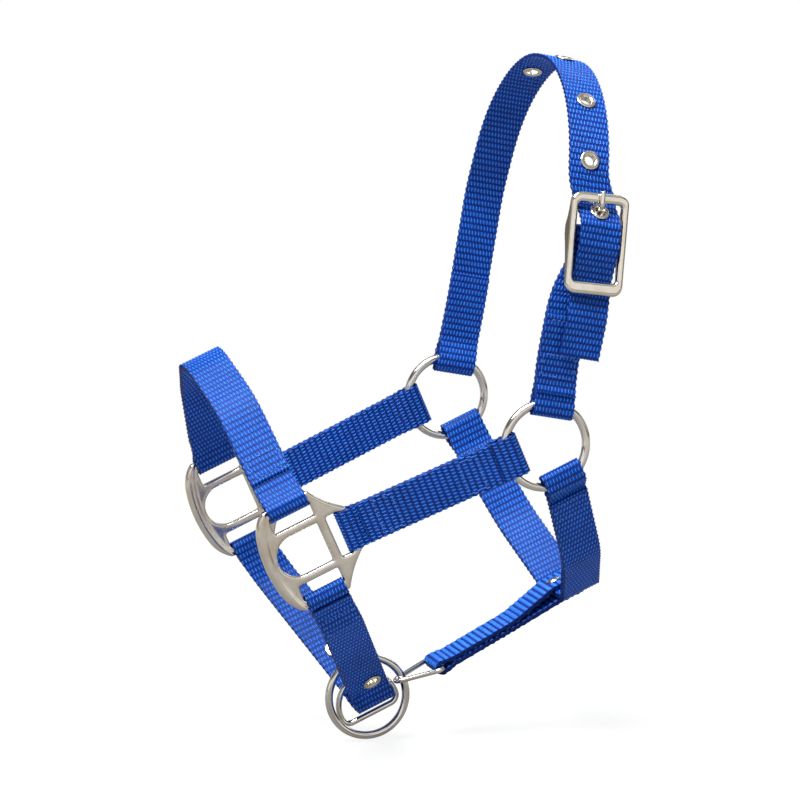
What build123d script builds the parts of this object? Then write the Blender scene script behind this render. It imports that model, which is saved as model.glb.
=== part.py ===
from build123d import *
import os
from math import atan2, cos, hypot, radians, sin, tan

os.makedirs("parts", exist_ok=True)

# Frame: +X toward the nose, +Y to the animal's left, +Z up. The origin is the
# seat on the poll, on the underside of the crown strap at mid length.

# ---- driving dimensions (mm, degrees) ----
web = 25.0                # webbing width
ply = 1.6                 # one layer of webbing
liner = 2 * ply           # a liner is one webbing run double
crown_thick = 2.4         # single heavy webbing of the crown strap
gap = 0.05                # between two sewn layers
slack = 0.8               # between a loop and the bar it goes round

ring_bore = 45.0          # inside diameter of each ring
ring_wire = 5.0
ring_half = 100.5         # centre plane to cheek ring
square_half = 88.4        # centre plane to halter square
crown_height = 220.6      # ring centre to poll seat, along the lean
crown_lean = 11.0         # crown leans back from vertical
cheek_tilt = 24.0         # cheek rises to the rear
throat_tilt = 24.0        # throat strap leans back from straight down
square_ahead = 152.8      # cheek ring to slot centre, along the cheek
square_rise = 5.2

eyelet_bore = 6.4
eyelet_barrel = 7.8
eyelet_flange = 11.8
eyelet_lip = 0.8

buckle_tall = 59.5
buckle_clear = 1.1        # each side of the webbing inside the buckle
buckle_side = 4.2         # width of each side rail
buckle_inside = web + 2 * buckle_clear
buckle_wide = buckle_inside + 2 * buckle_side
buckle_deep = 4.4
buckle_tilt = 8.0         # buckle leans in at the top
buckle_turn = 3.5         # and turns forward at the top
buckle_bar = 3.5          # centre bar diameter
tongue_wire = 3.0
throat_drop = 113.0       # ring centre to the bottom of the throat strap
chin_drop = 128.4         # square centre to the bottom of the chin strap
chin_lean = 0.1465        # rearward run of the chin strap per unit of drop
nose_rise = 114.0         # square centre to the corner the noseband is rounded from

ring_r = (ring_bore + ring_wire) / 2
ply_mid = liner / 2 + gap + ply / 2     # liner centre to face centre


def direction(x, z):
    return Vector(x, 0, z).normalized()


out = Vector(0, 1, 0)
up = direction(-sin(radians(crown_lean)), cos(radians(crown_lean)))
wide = direction(cos(radians(crown_lean)), sin(radians(crown_lean)))
back = direction(-cos(radians(cheek_tilt)), sin(radians(cheek_tilt)))
rise = direction(sin(radians(cheek_tilt)), cos(radians(cheek_tilt)))
down = direction(-sin(radians(throat_tilt)), -cos(radians(throat_tilt)))
throat_wide = direction(-cos(radians(throat_tilt)), sin(radians(throat_tilt)))

ring_mid = up * -crown_height
square_mid = ring_mid - back * square_ahead + rise * square_rise


def frame(origin, x_dir, y_dir):
    x_dir, y_dir = x_dir.normalized(), y_dir.normalized()
    return Plane(origin=origin, x_dir=x_dir, z_dir=x_dir.cross(y_dir))


def moved(plane, vector):
    return Plane(origin=plane.origin + vector, x_dir=plane.x_dir, z_dir=plane.z_dir)


def place(plane, x, y):
    return plane.origin + plane.x_dir * x + plane.y_dir * y


def eased(points, radii):
    """Limits each corner radius to what the two legs beside it leave room for."""
    legs = [(b[0] - a[0], b[1] - a[1]) for a, b in zip(points, points[1:])]
    runs = []
    for (ux, uy), (vx, vy), radius in zip(legs, legs[1:], radii):
        turn = abs(atan2(ux * vy - uy * vx, ux * vx + uy * vy))
        runs.append(radius * tan(turn / 2))
    used = [a + b for a, b in zip([0.0] + runs, runs + [0.0])]
    room = [min(1.0, 0.99 * hypot(*leg) / run) if run > hypot(*leg) else 1.0 for leg, run in zip(legs, used)]
    return [radius * min(pair) for radius, pair in zip(radii, zip(room, room[1:]))]


def shifted(points, radii, d):
    """Offsets a polyline to its left by d and keeps its rounded corners concentric."""
    radii = eased(points, radii)
    steps = [(b[0] - a[0], b[1] - a[1]) for a, b in zip(points, points[1:])]
    units = [(x / hypot(x, y), y / hypot(x, y)) for x, y in steps]
    left = [(-y, x) for x, y in units]
    new = [(points[0][0] + left[0][0] * d, points[0][1] + left[0][1] * d)]
    turns = []
    for i in range(1, len(points) - 1):
        (ux, uy), (vx, vy) = units[i - 1], units[i]
        cross = ux * vy - uy * vx
        bis_x, bis_y = left[i - 1][0] + left[i][0], left[i - 1][1] + left[i][1]
        scale = 2 * d / (bis_x**2 + bis_y**2)
        new.append((points[i][0] + bis_x * scale, points[i][1] + bis_y * scale))
        turns.append(radii[i - 1] - d if cross > 0 else radii[i - 1] + d)
    new.append((points[-1][0] + left[-1][0] * d, points[-1][1] + left[-1][1] * d))
    return new, turns


def mirrored(points):
    """Carries a half path on to its mirror image about x = 0."""
    return points + [(-x, y) for x, y in reversed(points)]


def band(plane, points, radii, thick, along, width=web):
    """A strap: centre line on the plane, drawn out along `along`."""
    with BuildPart() as piece:
        with BuildSketch(moved(plane, along * (-width / 2))):
            with BuildLine():
                if len(points) == 2:
                    Line(points[0], points[1])
                else:
                    FilletPolyline(*points, radius=eased(points, radii))
            trace(line_width=thick)
        extrude(amount=width, dir=along)
    return piece.part


def block(plane, circles, along, width=web):
    """The hull of the given circles (x, y, radius), drawn out along `along`."""
    with BuildPart() as piece:
        with BuildSketch(moved(plane, along * (-width / 2))) as flat:
            with BuildLine():
                for x, y, r in circles:
                    CenterArc((x, y), r, 0, 360)
            make_hull()
        extrude(amount=width, dir=along)
    return piece.part


def trimmed(part, plane, points, radii):
    """Cuts a wide strap blank to webbing width along a centre line seen from the side."""
    outline = band(plane, points, radii, web, out, 600.0)
    with BuildPart() as piece:
        add(part)
        add(outline, mode=Mode.INTERSECT)
    return piece.part


def unit(a, b):
    n = hypot(b[0] - a[0], b[1] - a[1])
    return (b[0] - a[0]) / n, (b[1] - a[1]) / n


loop_reach = 12.0         # bar centre to where the two legs of a loop meet


def loop_parts(plane, ends, half, toward, along, leg=ply, width=web):
    """Solid and hollow of a loop round the bar whose hollow runs between the two ends."""
    bar = ends[-1]
    ux, uy = unit(bar, toward)
    meet = (bar[0] + ux * loop_reach, bar[1] + uy * loop_reach)
    near = (bar[0] + ux * (loop_reach - 3), bar[1] + uy * (loop_reach - 3))
    solid = block(plane, [(x, y, half + leg) for x, y in ends] + [(*meet, leg)], along, width)
    hollow = block(
        plane, [(x, y, half) for x, y in ends] + [(*near, 0.25)], along, 4 * web
    )
    return solid, hollow, meet


def face_start(centre, radius, meet, toward, side, start):
    """First two corners of a face layer that starts on the loop and comes down to the strap."""
    ux, uy = unit(centre, meet)
    reach = hypot(meet[0] - centre[0], meet[1] - centre[1])
    slope = (radius - ply) / reach
    fall = (1 - slope**2) ** 0.5
    nx, ny = -uy * side, ux * side
    mx, my = nx * fall + ux * slope, ny * fall + uy * slope
    tx, ty = ux * fall - nx * slope, uy * fall - ny * slope
    lift = radius + gap + ply / 2 + 0.02
    first = (centre[0] + mx * lift + tx * start, centre[1] + my * lift + ty * start)
    vx, vy = unit(meet, toward)
    flat = ply_mid + 0.02
    low = (meet[0] - vy * side * flat, meet[1] + vx * side * flat)
    cross = tx * vy - ty * vx
    along = ((low[0] - first[0]) * vy - (low[1] - first[1]) * vx) / cross
    return first, (first[0] + tx * along, first[1] + ty * along)


# ---- halter squares ----
square_plane = frame(square_mid + out * square_half, back, rise)
slot_clear = 0.5
slot_half = web / 2 + slot_clear
inner_edge = 12.3         # half height of the middle opening
slot_in, slot_out, bar_out = 17.2, 26.0, 32.2      # top and bottom slots
rear_in, rear_out, rear_end = 18.0, 25.4, 31.4     # rear slot
plate = 4.5
crescent = 6.2            # thickness of the crescent rib
rib_far, rib_edge = 48.0, 20.5   # centre and reach of the rib's inner arc
bar_v = (slot_out + bar_out) / 2
bar_u = (rear_out + rear_end) / 2

def square_outline():
    """Outer edge of the square: crescent nose, flat ends, hollowed rear corners."""
    with BuildSketch() as flat:
        with BuildLine():
            nose = ThreePointArc((-24.0, 19.0), (-26.4, 0), (-24.0, -19.0))
            TangentArc((-24.0, -19.0), (-15.0, -bar_out), tangent=nose % 1)
            Line((-15.0, -bar_out), (14.6, -bar_out))
            ThreePointArc((14.6, -bar_out), (22.0, -21.9), (rear_end, -slot_half - 0.4))
            Line((rear_end, -slot_half - 0.4), (rear_end, slot_half + 0.4))
            ThreePointArc((rear_end, slot_half + 0.4), (22.0, 21.9), (14.6, bar_out))
            Line((14.6, bar_out), (-15.0, bar_out))
            TangentArc((-24.0, 19.0), (-15.0, bar_out), tangent=(nose % 0) * -1)
        make_face()
    return flat.sketch


with BuildPart() as rib:
    with BuildSketch(moved(square_plane, out * (-crescent / 2))):
        add(square_outline())
        with Locations((rib_far, 0)):
            Circle(rib_far + rib_edge, mode=Mode.SUBTRACT)
        with Locations((11.0, 0)):
            Rectangle(45.0, 80.0, mode=Mode.SUBTRACT)
    extrude(amount=crescent)
    rim = rib.faces().filter_by(Axis.Y).sort_by(Axis.Y)
    chamfer([rim[0].edges(), rim[-1].edges()], length=1.0)

with BuildPart() as left_square:
    with BuildSketch(moved(square_plane, out * (-plate / 2))):
        add(square_outline())
        with BuildLine():
            Line((-6.0, inner_edge), (12.4, inner_edge))
            Line((12.4, inner_edge), (12.4, -inner_edge))
            Line((12.4, -inner_edge), (-6.0, -inner_edge))
            ThreePointArc((-6.0, -inner_edge), (-18.2, 0), (-6.0, inner_edge))
        make_face(mode=Mode.SUBTRACT)
        with Locations((0, (slot_in + slot_out) / 2), (0, -(slot_in + slot_out) / 2)):
            RectangleRounded(2 * slot_half, slot_out - slot_in, 0.9, mode=Mode.SUBTRACT)
        with Locations(((rear_in + rear_out) / 2, 0)):
            RectangleRounded(rear_out - rear_in, 2 * slot_half, 0.9, mode=Mode.SUBTRACT)
    extrude(amount=plate)
    chamfer(left_square.faces().filter_by(Axis.Y).edges(), length=0.5)
    add(rib.part)

with BuildPart() as right_square:
    add(mirror(left_square.part, about=Plane.XZ))

# ---- rings ----
with BuildPart() as left_ring:
    with Locations(Plane(origin=ring_mid + out * ring_half, z_dir=out)):
        Torus(ring_r, ring_wire / 2)
with BuildPart() as right_ring:
    add(mirror(left_ring.part, about=Plane.XZ))

ring_gap = ring_wire / 2 + slack


def ring_hollow(offset):
    """Ends of the hollow of a loop round a ring, as distances from its centre."""
    edge = web / 2 + abs(offset)
    inner = ((ring_bore / 2) ** 2 - edge**2) ** 0.5
    return inner - 0.5 + ring_gap, ring_r


# ---- noseband: liner round both squares, face layer sewn over it ----
nose_plane = frame(square_mid, out, rise)
nose_side = frame(square_mid, back, rise)
nose_edge = [(0.2, -20.0), (0.2, 42.0), (4.8, 88.0), (4.8, nose_rise + 30.0)]
nose_edge_radii = [60.0, 60.0]
bar_gap = plate / 2 + slack
bar_span = (bar_out - slot_out) / 2 + slack - bar_gap
nose_bar = (square_half, bar_v)
nose_knee = (46.0, nose_rise - 30.0)
nose_top = (0.0, nose_rise)
nose_unit = unit(nose_bar, nose_knee)
blank = 2 * web


def from_bar(bar, way, reach):
    return bar[0] + way[0] * reach, bar[1] + way[1] * reach


def bar_loop_parts(plane, bar, way, along, width):
    """Loop round a square's end bar, whose hollow spans the bar in the second direction."""
    ends = [(bar[0], bar[1] + bar_span), (bar[0], bar[1] - bar_span)]
    solid = block(
        plane,
        [(x, y, bar_gap + ply) for x, y in ends] + [(*from_bar(bar, way, loop_reach), ply)],
        along, width,
    )
    hollow = block(
        plane,
        [(x, y, bar_gap) for x, y in ends] + [(*from_bar(bar, way, loop_reach - 3), 0.25)],
        along, 2 * blank,
    )
    return solid, hollow


nose_meet = from_bar(nose_bar, nose_unit, loop_reach)
nose_path = [nose_meet, nose_knee, nose_top, (-nose_knee[0], nose_knee[1]), (-nose_meet[0], nose_meet[1])]
nose_radii = [60.0, 30.0, 60.0]
nose_solid, nose_hollow = bar_loop_parts(nose_plane, nose_bar, nose_unit, back, blank)
with BuildPart() as nose_blank:
    add(band(nose_plane, nose_path, nose_radii, liner, back, blank))
    add(nose_solid)
    add(mirror(nose_solid, about=Plane.XZ))
    add(nose_hollow, mode=Mode.SUBTRACT)
    add(mirror(nose_hollow, about=Plane.XZ), mode=Mode.SUBTRACT)
with BuildPart() as noseband_liner:
    add(trimmed(nose_blank.part, nose_side, nose_edge, nose_edge_radii))
start = from_bar(nose_bar, nose_unit, 18.0)
face_path, face_radii = shifted(
    [start, nose_knee, nose_top, (-nose_knee[0], nose_knee[1]), (-start[0], start[1])],
    nose_radii, -ply_mid,
)
with BuildPart() as noseband_face:
    add(trimmed(band(nose_plane, face_path, face_radii, ply, back, blank), nose_side, nose_edge, nose_edge_radii))

# ---- cheek straps ----
cheek_start = square_mid + back * bar_u
cheek_end_rise = 3.2      # strap centre above ring centre
cheek_run = (ring_mid + rise * cheek_end_rise) - cheek_start
cheek_dir = cheek_run.normalized()
cheek_plane = frame(cheek_start, cheek_dir, out)
cheek_length = cheek_run.length
cheek_tall = cheek_plane.z_dir
fold_in, fold_out = ring_hollow(cheek_end_rise)
square_bar = (0.0, square_half)
rear_span = (rear_end - rear_out) / 2 + slack - bar_gap
cheek_square = [(-rear_span, square_half), (rear_span, square_half)]
cheek_ring = [(cheek_length - fold_in, ring_half), (cheek_length - ring_r, ring_half)]
solid_a, hollow_a, meet_a = loop_parts(cheek_plane, cheek_square, bar_gap, cheek_ring[-1], cheek_tall)
solid_b, hollow_b, meet_b = loop_parts(cheek_plane, cheek_ring, ring_gap, cheek_square[-1], cheek_tall)
with BuildPart() as left_cheek_liner:
    add(band(cheek_plane, [meet_a, meet_b], [], liner, cheek_tall))
    add(solid_a)
    add(solid_b)
    add(hollow_a, mode=Mode.SUBTRACT)
    add(hollow_b, mode=Mode.SUBTRACT)
face_a = face_start(cheek_square[-1], bar_gap + ply, meet_a, meet_b, 1, 6.0)
face_b = face_start(cheek_ring[-1], ring_gap + ply, meet_b, meet_a, -1, 5.0)
cheek_face_path = [face_a[0], face_a[1], face_b[1], face_b[0]]
with BuildPart() as left_cheek_face:
    add(band(cheek_plane, cheek_face_path, [8.0, 8.0], ply, cheek_tall))
with BuildPart() as right_cheek_liner:
    add(mirror(left_cheek_liner.part, about=Plane.XZ))
with BuildPart() as right_cheek_face:
    add(mirror(left_cheek_face.part, about=Plane.XZ))

# ---- throat strap ----
throat_shift = 1.8
throat_plane = frame(ring_mid + throat_wide * throat_shift, out, down)
fold_in, fold_out = ring_hollow(throat_shift)
throat_knee = (64.0, throat_drop - 32.5)
throat_flat = (22.5, throat_drop)
throat_ring = [(ring_half, fold_in), (ring_half, fold_out)]
solid, hollow, throat_meet = loop_parts(throat_plane, throat_ring, ring_gap, throat_knee, throat_wide)
throat_path = mirrored([throat_meet, throat_knee, throat_flat])
throat_radii = [60.0, 10.0, 10.0, 60.0]
with BuildPart() as throat_liner:
    add(band(throat_plane, throat_path, throat_radii, liner, throat_wide))
    add(solid)
    add(mirror(solid, about=Plane.XZ))
    add(hollow, mode=Mode.SUBTRACT)
    add(mirror(hollow, about=Plane.XZ), mode=Mode.SUBTRACT)
throat_unit = unit((ring_half, ring_r), throat_knee)
throat_face_start = 14.0
start = (
    ring_half + throat_unit[0] * throat_face_start,
    ring_r + throat_unit[1] * throat_face_start,
)
face_path, face_radii = shifted(mirrored([start, throat_knee, throat_flat]), throat_radii, -ply_mid)
with BuildPart() as throat_face:
    add(band(throat_plane, face_path, face_radii, ply, throat_wide))

# ---- chin strap ----
chin_down = (rise * -1 + back * chin_lean).normalized()
chin_plane = frame(square_mid - back * (chin_lean * bar_v), out, chin_down)
chin_scale = hypot(1.0, chin_lean)
chin_bar = (square_half, bar_v * chin_scale)
chin_knee = (78.5, 51.5 * chin_scale)
chin_neck = (10.5, (chin_drop - 12.0) * chin_scale)
chin_foot = (7.0, chin_drop * chin_scale)
chin_unit = unit(chin_bar, chin_knee)
chin_meet = from_bar(chin_bar, chin_unit, loop_reach)
chin_path = mirrored([chin_meet, chin_knee, chin_neck, chin_foot])
chin_radii = [30.0, 12.0, 5.5, 5.5, 12.0, 30.0]
chin_top = face_start(
    (square_half, (bar_v + bar_span) * chin_scale), bar_gap + ply + 0.12, chin_meet, chin_knee, -1, 1.5
)
chin_inner, chin_inner_radii = shifted(
    mirrored([from_bar(chin_bar, chin_unit, loop_reach + 2), chin_knee, chin_neck, chin_foot]), chin_radii, -ply_mid
)
chin_face_path = [chin_top[0], chin_top[1]] + chin_inner[1:-1] + [(-chin_top[1][0], chin_top[1][1]), (-chin_top[0][0], chin_top[0][1])]
chin_face_radii = [6.0] + chin_inner_radii + [6.0]

# ---- crown strap: over the poll from the right ring, through the buckle ----
poll_w = 3.2              # forward set of the strap at the poll
top_s = crown_height + crown_thick / 2
crown_plane = frame(ring_mid, out, up)
crown_side = frame(ring_mid, wide, up)
bar_y, bar_s, bar_w = 98.5, 127.7, -5.6
far_w = -1.2              # strap centre at the right ring
turn_slope = tan(radians(buckle_turn))


def in_buckle(n, t):
    """A point n outward and t up from the centre bar, seen along the strap's width."""
    a = radians(buckle_tilt)
    return bar_y + n * cos(a) - t * sin(a), bar_s + n * sin(a) + t * cos(a)


frame_n = 6.2             # centre bar to the middle of the buckle frame
eye_n, eye_t = 5.2, 10.6  # where the tongue passes through the strap
eye_slope = 42.0          # strap bulges out of the frame here
eye_x, eye_y = sin(radians(eye_slope)), -cos(radians(eye_slope))
under_bar = frame_n - buckle_deep / 2 - 0.7 - crown_thick / 2
near_path = [
    (0.0, top_s),
    (70.5, top_s),
    in_buckle(eye_n - eye_x * 9.2, eye_t - eye_y * 9.2 + 6.0),
    in_buckle(eye_n - eye_x * 7.9, eye_t - eye_y * 7.9),
    in_buckle(eye_n + eye_x * 8.2, eye_t + eye_y * 8.2),
    in_buckle(eye_n + eye_x * 7.6, eye_t + eye_y * 8.2 - 14.0),
    in_buckle(under_bar, -28.0),
    in_buckle(under_bar, -38.5),
    (108.8, 78.0),
    (107.5, 54.0),
]
near_radii = eased(near_path, [92.0, 12.0, 2.2, 2.6, 10.0, 12.0, 12.0, 20.0])
near_edge = [
    (bar_w - turn_slope * 32.0, 20.0),
    (bar_w - turn_slope * 32.0, bar_s - 32.0),
    (bar_w + turn_slope * 13.8, bar_s + 13.8),
    (2.0, bar_s + 31.0),
    (poll_w, top_s + 30.0),
]
near_edge_radii = [60.0, 30.0, 30.0]
far_edge = [(far_w, -20.0), (far_w, 60.0), (poll_w, 185.0), (poll_w, top_s + 30.0)]
far_edge_radii = [200.0, 200.0]
fold_in, fold_out = ring_hollow(far_w)
crown_ring = [(-ring_half, fold_in - 0.4), (-ring_half, fold_out)]
crown_solid, crown_hollow, crown_meet = loop_parts(
    crown_plane, crown_ring, ring_gap, (-ring_half + 0.4, 60.0), wide, crown_thick, blank
)
main_mid = crown_thick / 2 + gap / 2
far_path = [
    (0.0, top_s),
    (-70.5, top_s),
    (-97.0, 132.0),
    (-99.6, 72.0),
    (crown_meet[0] - main_mid, crown_meet[1]),
]
far_radii = eased(far_path, [93.0, 80.0, 60.0])
eyelet_steps = [0.0, 110.0, 68.5, 12.0, -44.0]   # path length from the poll; the first is at the tongue

with BuildLine() as near_line:
    FilletPolyline(*near_path, radius=near_radii)
with BuildLine() as far_line:
    FilletPolyline(*far_path, radius=far_radii)


def edge_w(edge, s):
    """Sideways place of the strap's centre at height s."""
    for (w0, s0), (w1, s1) in zip(edge, edge[1:]):
        if s0 <= s <= s1:
            return w0 + (w1 - w0) * (s - s0) / (s1 - s0)
    return edge[-1][0]


def station(step):
    """Centre and outward plane of the crown strap at a path length from the poll."""
    line, edge = (near_line, near_edge) if step >= 0 else (far_line, far_edge)
    wire = line.wires()[0]
    u = abs(step) / wire.length
    point, tangent = wire @ u, wire % u
    run = out * tangent.X + up * tangent.Y
    normal = wide.cross(run) * (1 if step >= 0 else -1)
    centre = place(crown_plane, point.X, point.Y) + wide * edge_w(edge, point.Y)
    return Plane(origin=centre, x_dir=wide, z_dir=normal.normalized())


eye_at = in_buckle(eye_n, eye_t)
eye_low, eye_high = in_buckle(eye_n + eye_x, eye_t + eye_y), in_buckle(eye_n, eye_t)
eye_run = out * (eye_low[0] - eye_high[0]) + up * (eye_low[1] - eye_high[1])
eye_plane = Plane(
    origin=place(crown_plane, *eye_at) + wide * (bar_w + turn_slope * eye_t),
    x_dir=wide,
    z_dir=wide.cross(eye_run).normalized(),
)
eyelet_planes = [eye_plane] + [station(step) for step in eyelet_steps[1:]]

with BuildPart() as near_blank:
    add(band(crown_plane, near_path, near_radii, crown_thick, wide, blank))
with BuildPart() as far_blank:
    add(band(crown_plane, far_path, far_radii, crown_thick, wide, blank))
    add(band(
        crown_plane,
        [(crown_meet[0] + main_mid, crown_meet[1] - 1), (crown_meet[0] + main_mid + 0.9, 78.0)],
        [], crown_thick, wide, blank,
    ))
    add(crown_solid)
    add(crown_hollow, mode=Mode.SUBTRACT)
with BuildPart() as crown_strap:
    add(trimmed(near_blank.part, crown_side, near_edge, near_edge_radii))
    add(trimmed(far_blank.part, crown_side, far_edge, far_edge_radii))
    for at in eyelet_planes:
        with Locations(at):
            Cylinder(eyelet_barrel / 2 + 0.1, 8, mode=Mode.SUBTRACT)


def eyelet(plane, thick):
    """Barrel through the webbing with a rolled lip on each face."""
    half = thick / 2 + gap
    with BuildPart() as piece:
        with BuildSketch(Plane.XZ):
            with BuildLine():
                Polyline(
                    (eyelet_bore / 2, -half - 0.3),
                    (eyelet_bore / 2 + 0.4, -half - eyelet_lip),
                    (eyelet_flange / 2 - 0.5, -half - eyelet_lip),
                    (eyelet_flange / 2, -half - 0.3),
                    (eyelet_flange / 2, -half),
                    (eyelet_barrel / 2, -half),
                    (eyelet_barrel / 2, half),
                    (eyelet_flange / 2, half),
                    (eyelet_flange / 2, half + 0.3),
                    (eyelet_flange / 2 - 0.5, half + eyelet_lip),
                    (eyelet_bore / 2 + 0.9, half + eyelet_lip),
                    (eyelet_bore / 2, half + 0.1),
                    close=True,
                )
            make_face()
        revolve(axis=Axis.Z)
    return plane.location * piece.part


crown_eyelets = []
for at in eyelet_planes:
    with BuildPart() as one:
        add(eyelet(at, crown_thick + 0.4))
    crown_eyelets.append(one)

# ---- billet: from the left ring up to the centre bar ----
turn = radians(buckle_turn)
bar_dir = (wide * cos(turn) - up * sin(turn)).normalized()
bar_up = (up * cos(turn) + wide * sin(turn)).normalized()
bar_point = place(crown_plane, bar_y, bar_s) + wide * bar_w
loop_plane = frame(bar_point - out * bar_y - bar_up * bar_s, out, bar_up)
billet_knee = (101.2, 86.0)
billet_edge = [(0.0, -20.0), (0.0, 18.0), (2.8, 50.0), (2.8, 86.0), (bar_w, 113.0), (bar_w, 180.0)]
billet_edge_radii = [60.0, 60.0, 40.0, 30.0]
fold_in, fold_out = ring_hollow(0.0)
billet_ring = [(ring_half, fold_in - 0.4), (ring_half, fold_out)]
bar_centre = (bar_y, bar_s)
bar_loop = buckle_bar / 2 + 0.5
billet_target = in_buckle(-2.2, -24.0)
solid_a, hollow_a, billet_low = loop_parts(crown_plane, billet_ring, ring_gap, billet_knee, wide, ply, blank)
solid_b, hollow_b, billet_high = loop_parts(loop_plane, [bar_centre], bar_loop, billet_target, bar_dir, ply, blank)
with BuildPart() as billet_blank:
    add(band(crown_plane, [billet_low, billet_knee, billet_high], [80.0], liner, wide, blank))
    add(solid_a)
    add(solid_b)
    add(hollow_a, mode=Mode.SUBTRACT)
    add(hollow_b, mode=Mode.SUBTRACT)
with BuildPart() as billet:
    add(trimmed(billet_blank.part, crown_side, billet_edge, billet_edge_radii))
    with Locations(Plane(origin=bar_point, x_dir=out, z_dir=bar_dir)):
        Box(2 * 5.6, 2 * 7.6, 5.4, mode=Mode.SUBTRACT)
billet_face_first = face_start(billet_ring[-1], ring_gap + ply, billet_low, billet_knee, -1, 4.0)
side = unit(billet_low, billet_knee)
with BuildPart() as billet_face:
    add(trimmed(
        band(
            crown_plane,
            [
                billet_face_first[0],
                billet_face_first[1],
                (
                    billet_knee[0] - side[0] * 9 + side[1] * ply_mid,
                    billet_knee[1] - side[1] * 9 - side[0] * ply_mid,
                ),
            ],
            [8.0], ply, wide, blank,
        ),
        crown_side, billet_edge, billet_edge_radii,
    ))

# ---- buckle: frame bowed down to its centre bar ----
tilt = radians(buckle_tilt)
tilt_x = (out * cos(tilt) + bar_up * sin(tilt)).normalized()
tilt_y = (out * -sin(tilt) + bar_up * cos(tilt)).normalized()
side_plane = frame(bar_point, tilt_x, tilt_y)            # n, t
face_plane = frame(bar_point, bar_dir, tilt_y)           # w, t
top_t, top_in = 22.4, 16.2
low_t, low_in = top_t - buckle_tall, -29.4
front_n, rear_n = frame_n + buckle_deep / 2, frame_n - buckle_deep / 2
with BuildPart() as buckle_frame:
    with BuildSketch(moved(side_plane, bar_dir * (-buckle_wide / 2))):
        with BuildLine():
            Line((front_n, top_t), (front_n, low_t))
            Line((front_n, low_t), (rear_n, low_t))
            Line((rear_n, low_t), (rear_n, low_in))
            ThreePointArc((rear_n, low_in), (1.6, -14.0), (-buckle_bar / 2, -3.0))
            Line((-buckle_bar / 2, -3.0), (-buckle_bar / 2, 3.0))
            ThreePointArc((-buckle_bar / 2, 3.0), (1.8, 9.0), (rear_n, top_in))
            Line((rear_n, top_in), (rear_n, top_t))
            Line((rear_n, top_t), (front_n, top_t))
        make_face()
    extrude(amount=buckle_wide, dir=bar_dir)
    with BuildSketch(moved(face_plane, tilt_x * -10), mode=Mode.PRIVATE) as ring_shape:
        with Locations((0, (top_t + low_t) / 2)):
            RectangleRounded(buckle_wide, buckle_tall, 6.0)
        with Locations((0, (top_in + low_in) / 2)):
            RectangleRounded(buckle_inside, top_in - low_in, 2.0, mode=Mode.SUBTRACT)
    extrude(ring_shape.sketch, amount=30, dir=tilt_x, mode=Mode.INTERSECT)
    top_faces = buckle_frame.faces().sort_by(Axis(bar_point, tilt_x))[-1]
    chamfer(top_faces.edges(), length=1.1)
    with Locations(Plane(origin=bar_point, x_dir=out, z_dir=bar_dir)):
        Cylinder(buckle_bar / 2, buckle_inside + 4)

# ---- buckle tongue ----
hub_out = buckle_bar / 2 + 1.55
rest_n = front_n + tongue_wire / 2 + 0.15
push = (rest_n - eye_n) / -eye_y
tongue_path = [
    (0.1, 1.0),
    (eye_n + 4.7 * eye_y, eye_t - 4.7 * eye_x),
    (rest_n, eye_t + push * eye_x),
    (rest_n, top_t - 0.1),
]
with BuildPart() as buckle_tongue:
    with BuildLine(side_plane) as shank:
        FilletPolyline(*tongue_path, radius=[2.2, 3.0])
    shank_wire = shank.wires()[0]
    with BuildSketch(Plane(origin=shank_wire @ 0, x_dir=bar_dir, z_dir=shank_wire % 0)):
        Circle(tongue_wire / 2)
    sweep(path=shank_wire)
    with Locations(Plane(origin=shank_wire @ 1, x_dir=bar_dir, z_dir=tilt_y)):
        Sphere(tongue_wire / 2)
    with Locations(Plane(origin=bar_point, x_dir=out, z_dir=bar_dir)):
        Cylinder(hub_out, 4.4)
        Cylinder(buckle_bar / 2 + 0.12, 20, mode=Mode.SUBTRACT)

# ---- chin hardware ----
ring_seat = 3.6                       # ring centre above the bottom of the chin strap
chin_w, chin_s = 12.0, chin_drop - ring_seat     # ring centre behind and below the square centre
chin_r, chin_wire = 24.2, 4.8
chin_ring_mid = square_mid + back * chin_w - rise * chin_s
with BuildPart() as chin_ring:
    with Locations(Plane(origin=chin_ring_mid, z_dir=out)):
        Torus(chin_r, chin_wire / 2)

dee_wire = 3.6
dee_off = -5.0
dee_clear = 6.1                       # dee's side beyond the edge of the webbing
dee_w, dee_half, dee_tall = 11.2, web / 2 + dee_clear, 24.4
dee_plane = frame(square_mid + back * dee_w + out * dee_off, back, rise * -1)
fold_low = chin_drop + liner / 2 + gap + ply
dee_low = fold_low + 3.6 + dee_wire / 2
with BuildPart() as chin_dee:
    with BuildLine(dee_plane) as dee_line:
        FilletPolyline(
            (-dee_half, dee_low), (dee_half, dee_low),
            (dee_half, dee_low - dee_tall), (-dee_half, dee_low - dee_tall),
            radius=[5.5, 5.5, dee_half - 0.2, dee_half - 0.2], close=True,
        )
    dee_loop = dee_line.wires()[0]
    with BuildSketch(Plane(origin=dee_loop @ 0, z_dir=dee_loop % 0)):
        Circle(dee_wire / 2)
    sweep(path=dee_loop)

link_wire = 3.0
link_spread = 26.3                    # half angle of the link
link_half = 16.5
link_apex = 4.4
link_rise = 19.0
link_dir = direction(-cos(radians(link_rise)), sin(radians(link_rise)))
link_mid = chin_ring_mid + back * chin_r
link_plane = frame(link_mid, link_dir, out)
apex_p = -link_apex / sin(radians(link_spread))
base_p = apex_p + link_half / tan(radians(link_spread))
with BuildPart() as chin_link:
    with BuildLine(link_plane) as link_line:
        FilletPolyline(
            (apex_p, 0), (base_p, -link_half), (base_p, link_half),
            radius=[link_apex, 3.2, 3.2], close=True,
        )
    link_loop = link_line.wires()[0]
    with BuildSketch(Plane(origin=link_loop @ 0, z_dir=link_loop % 0)):
        Circle(link_wire / 2)
    sweep(path=link_loop)

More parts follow.
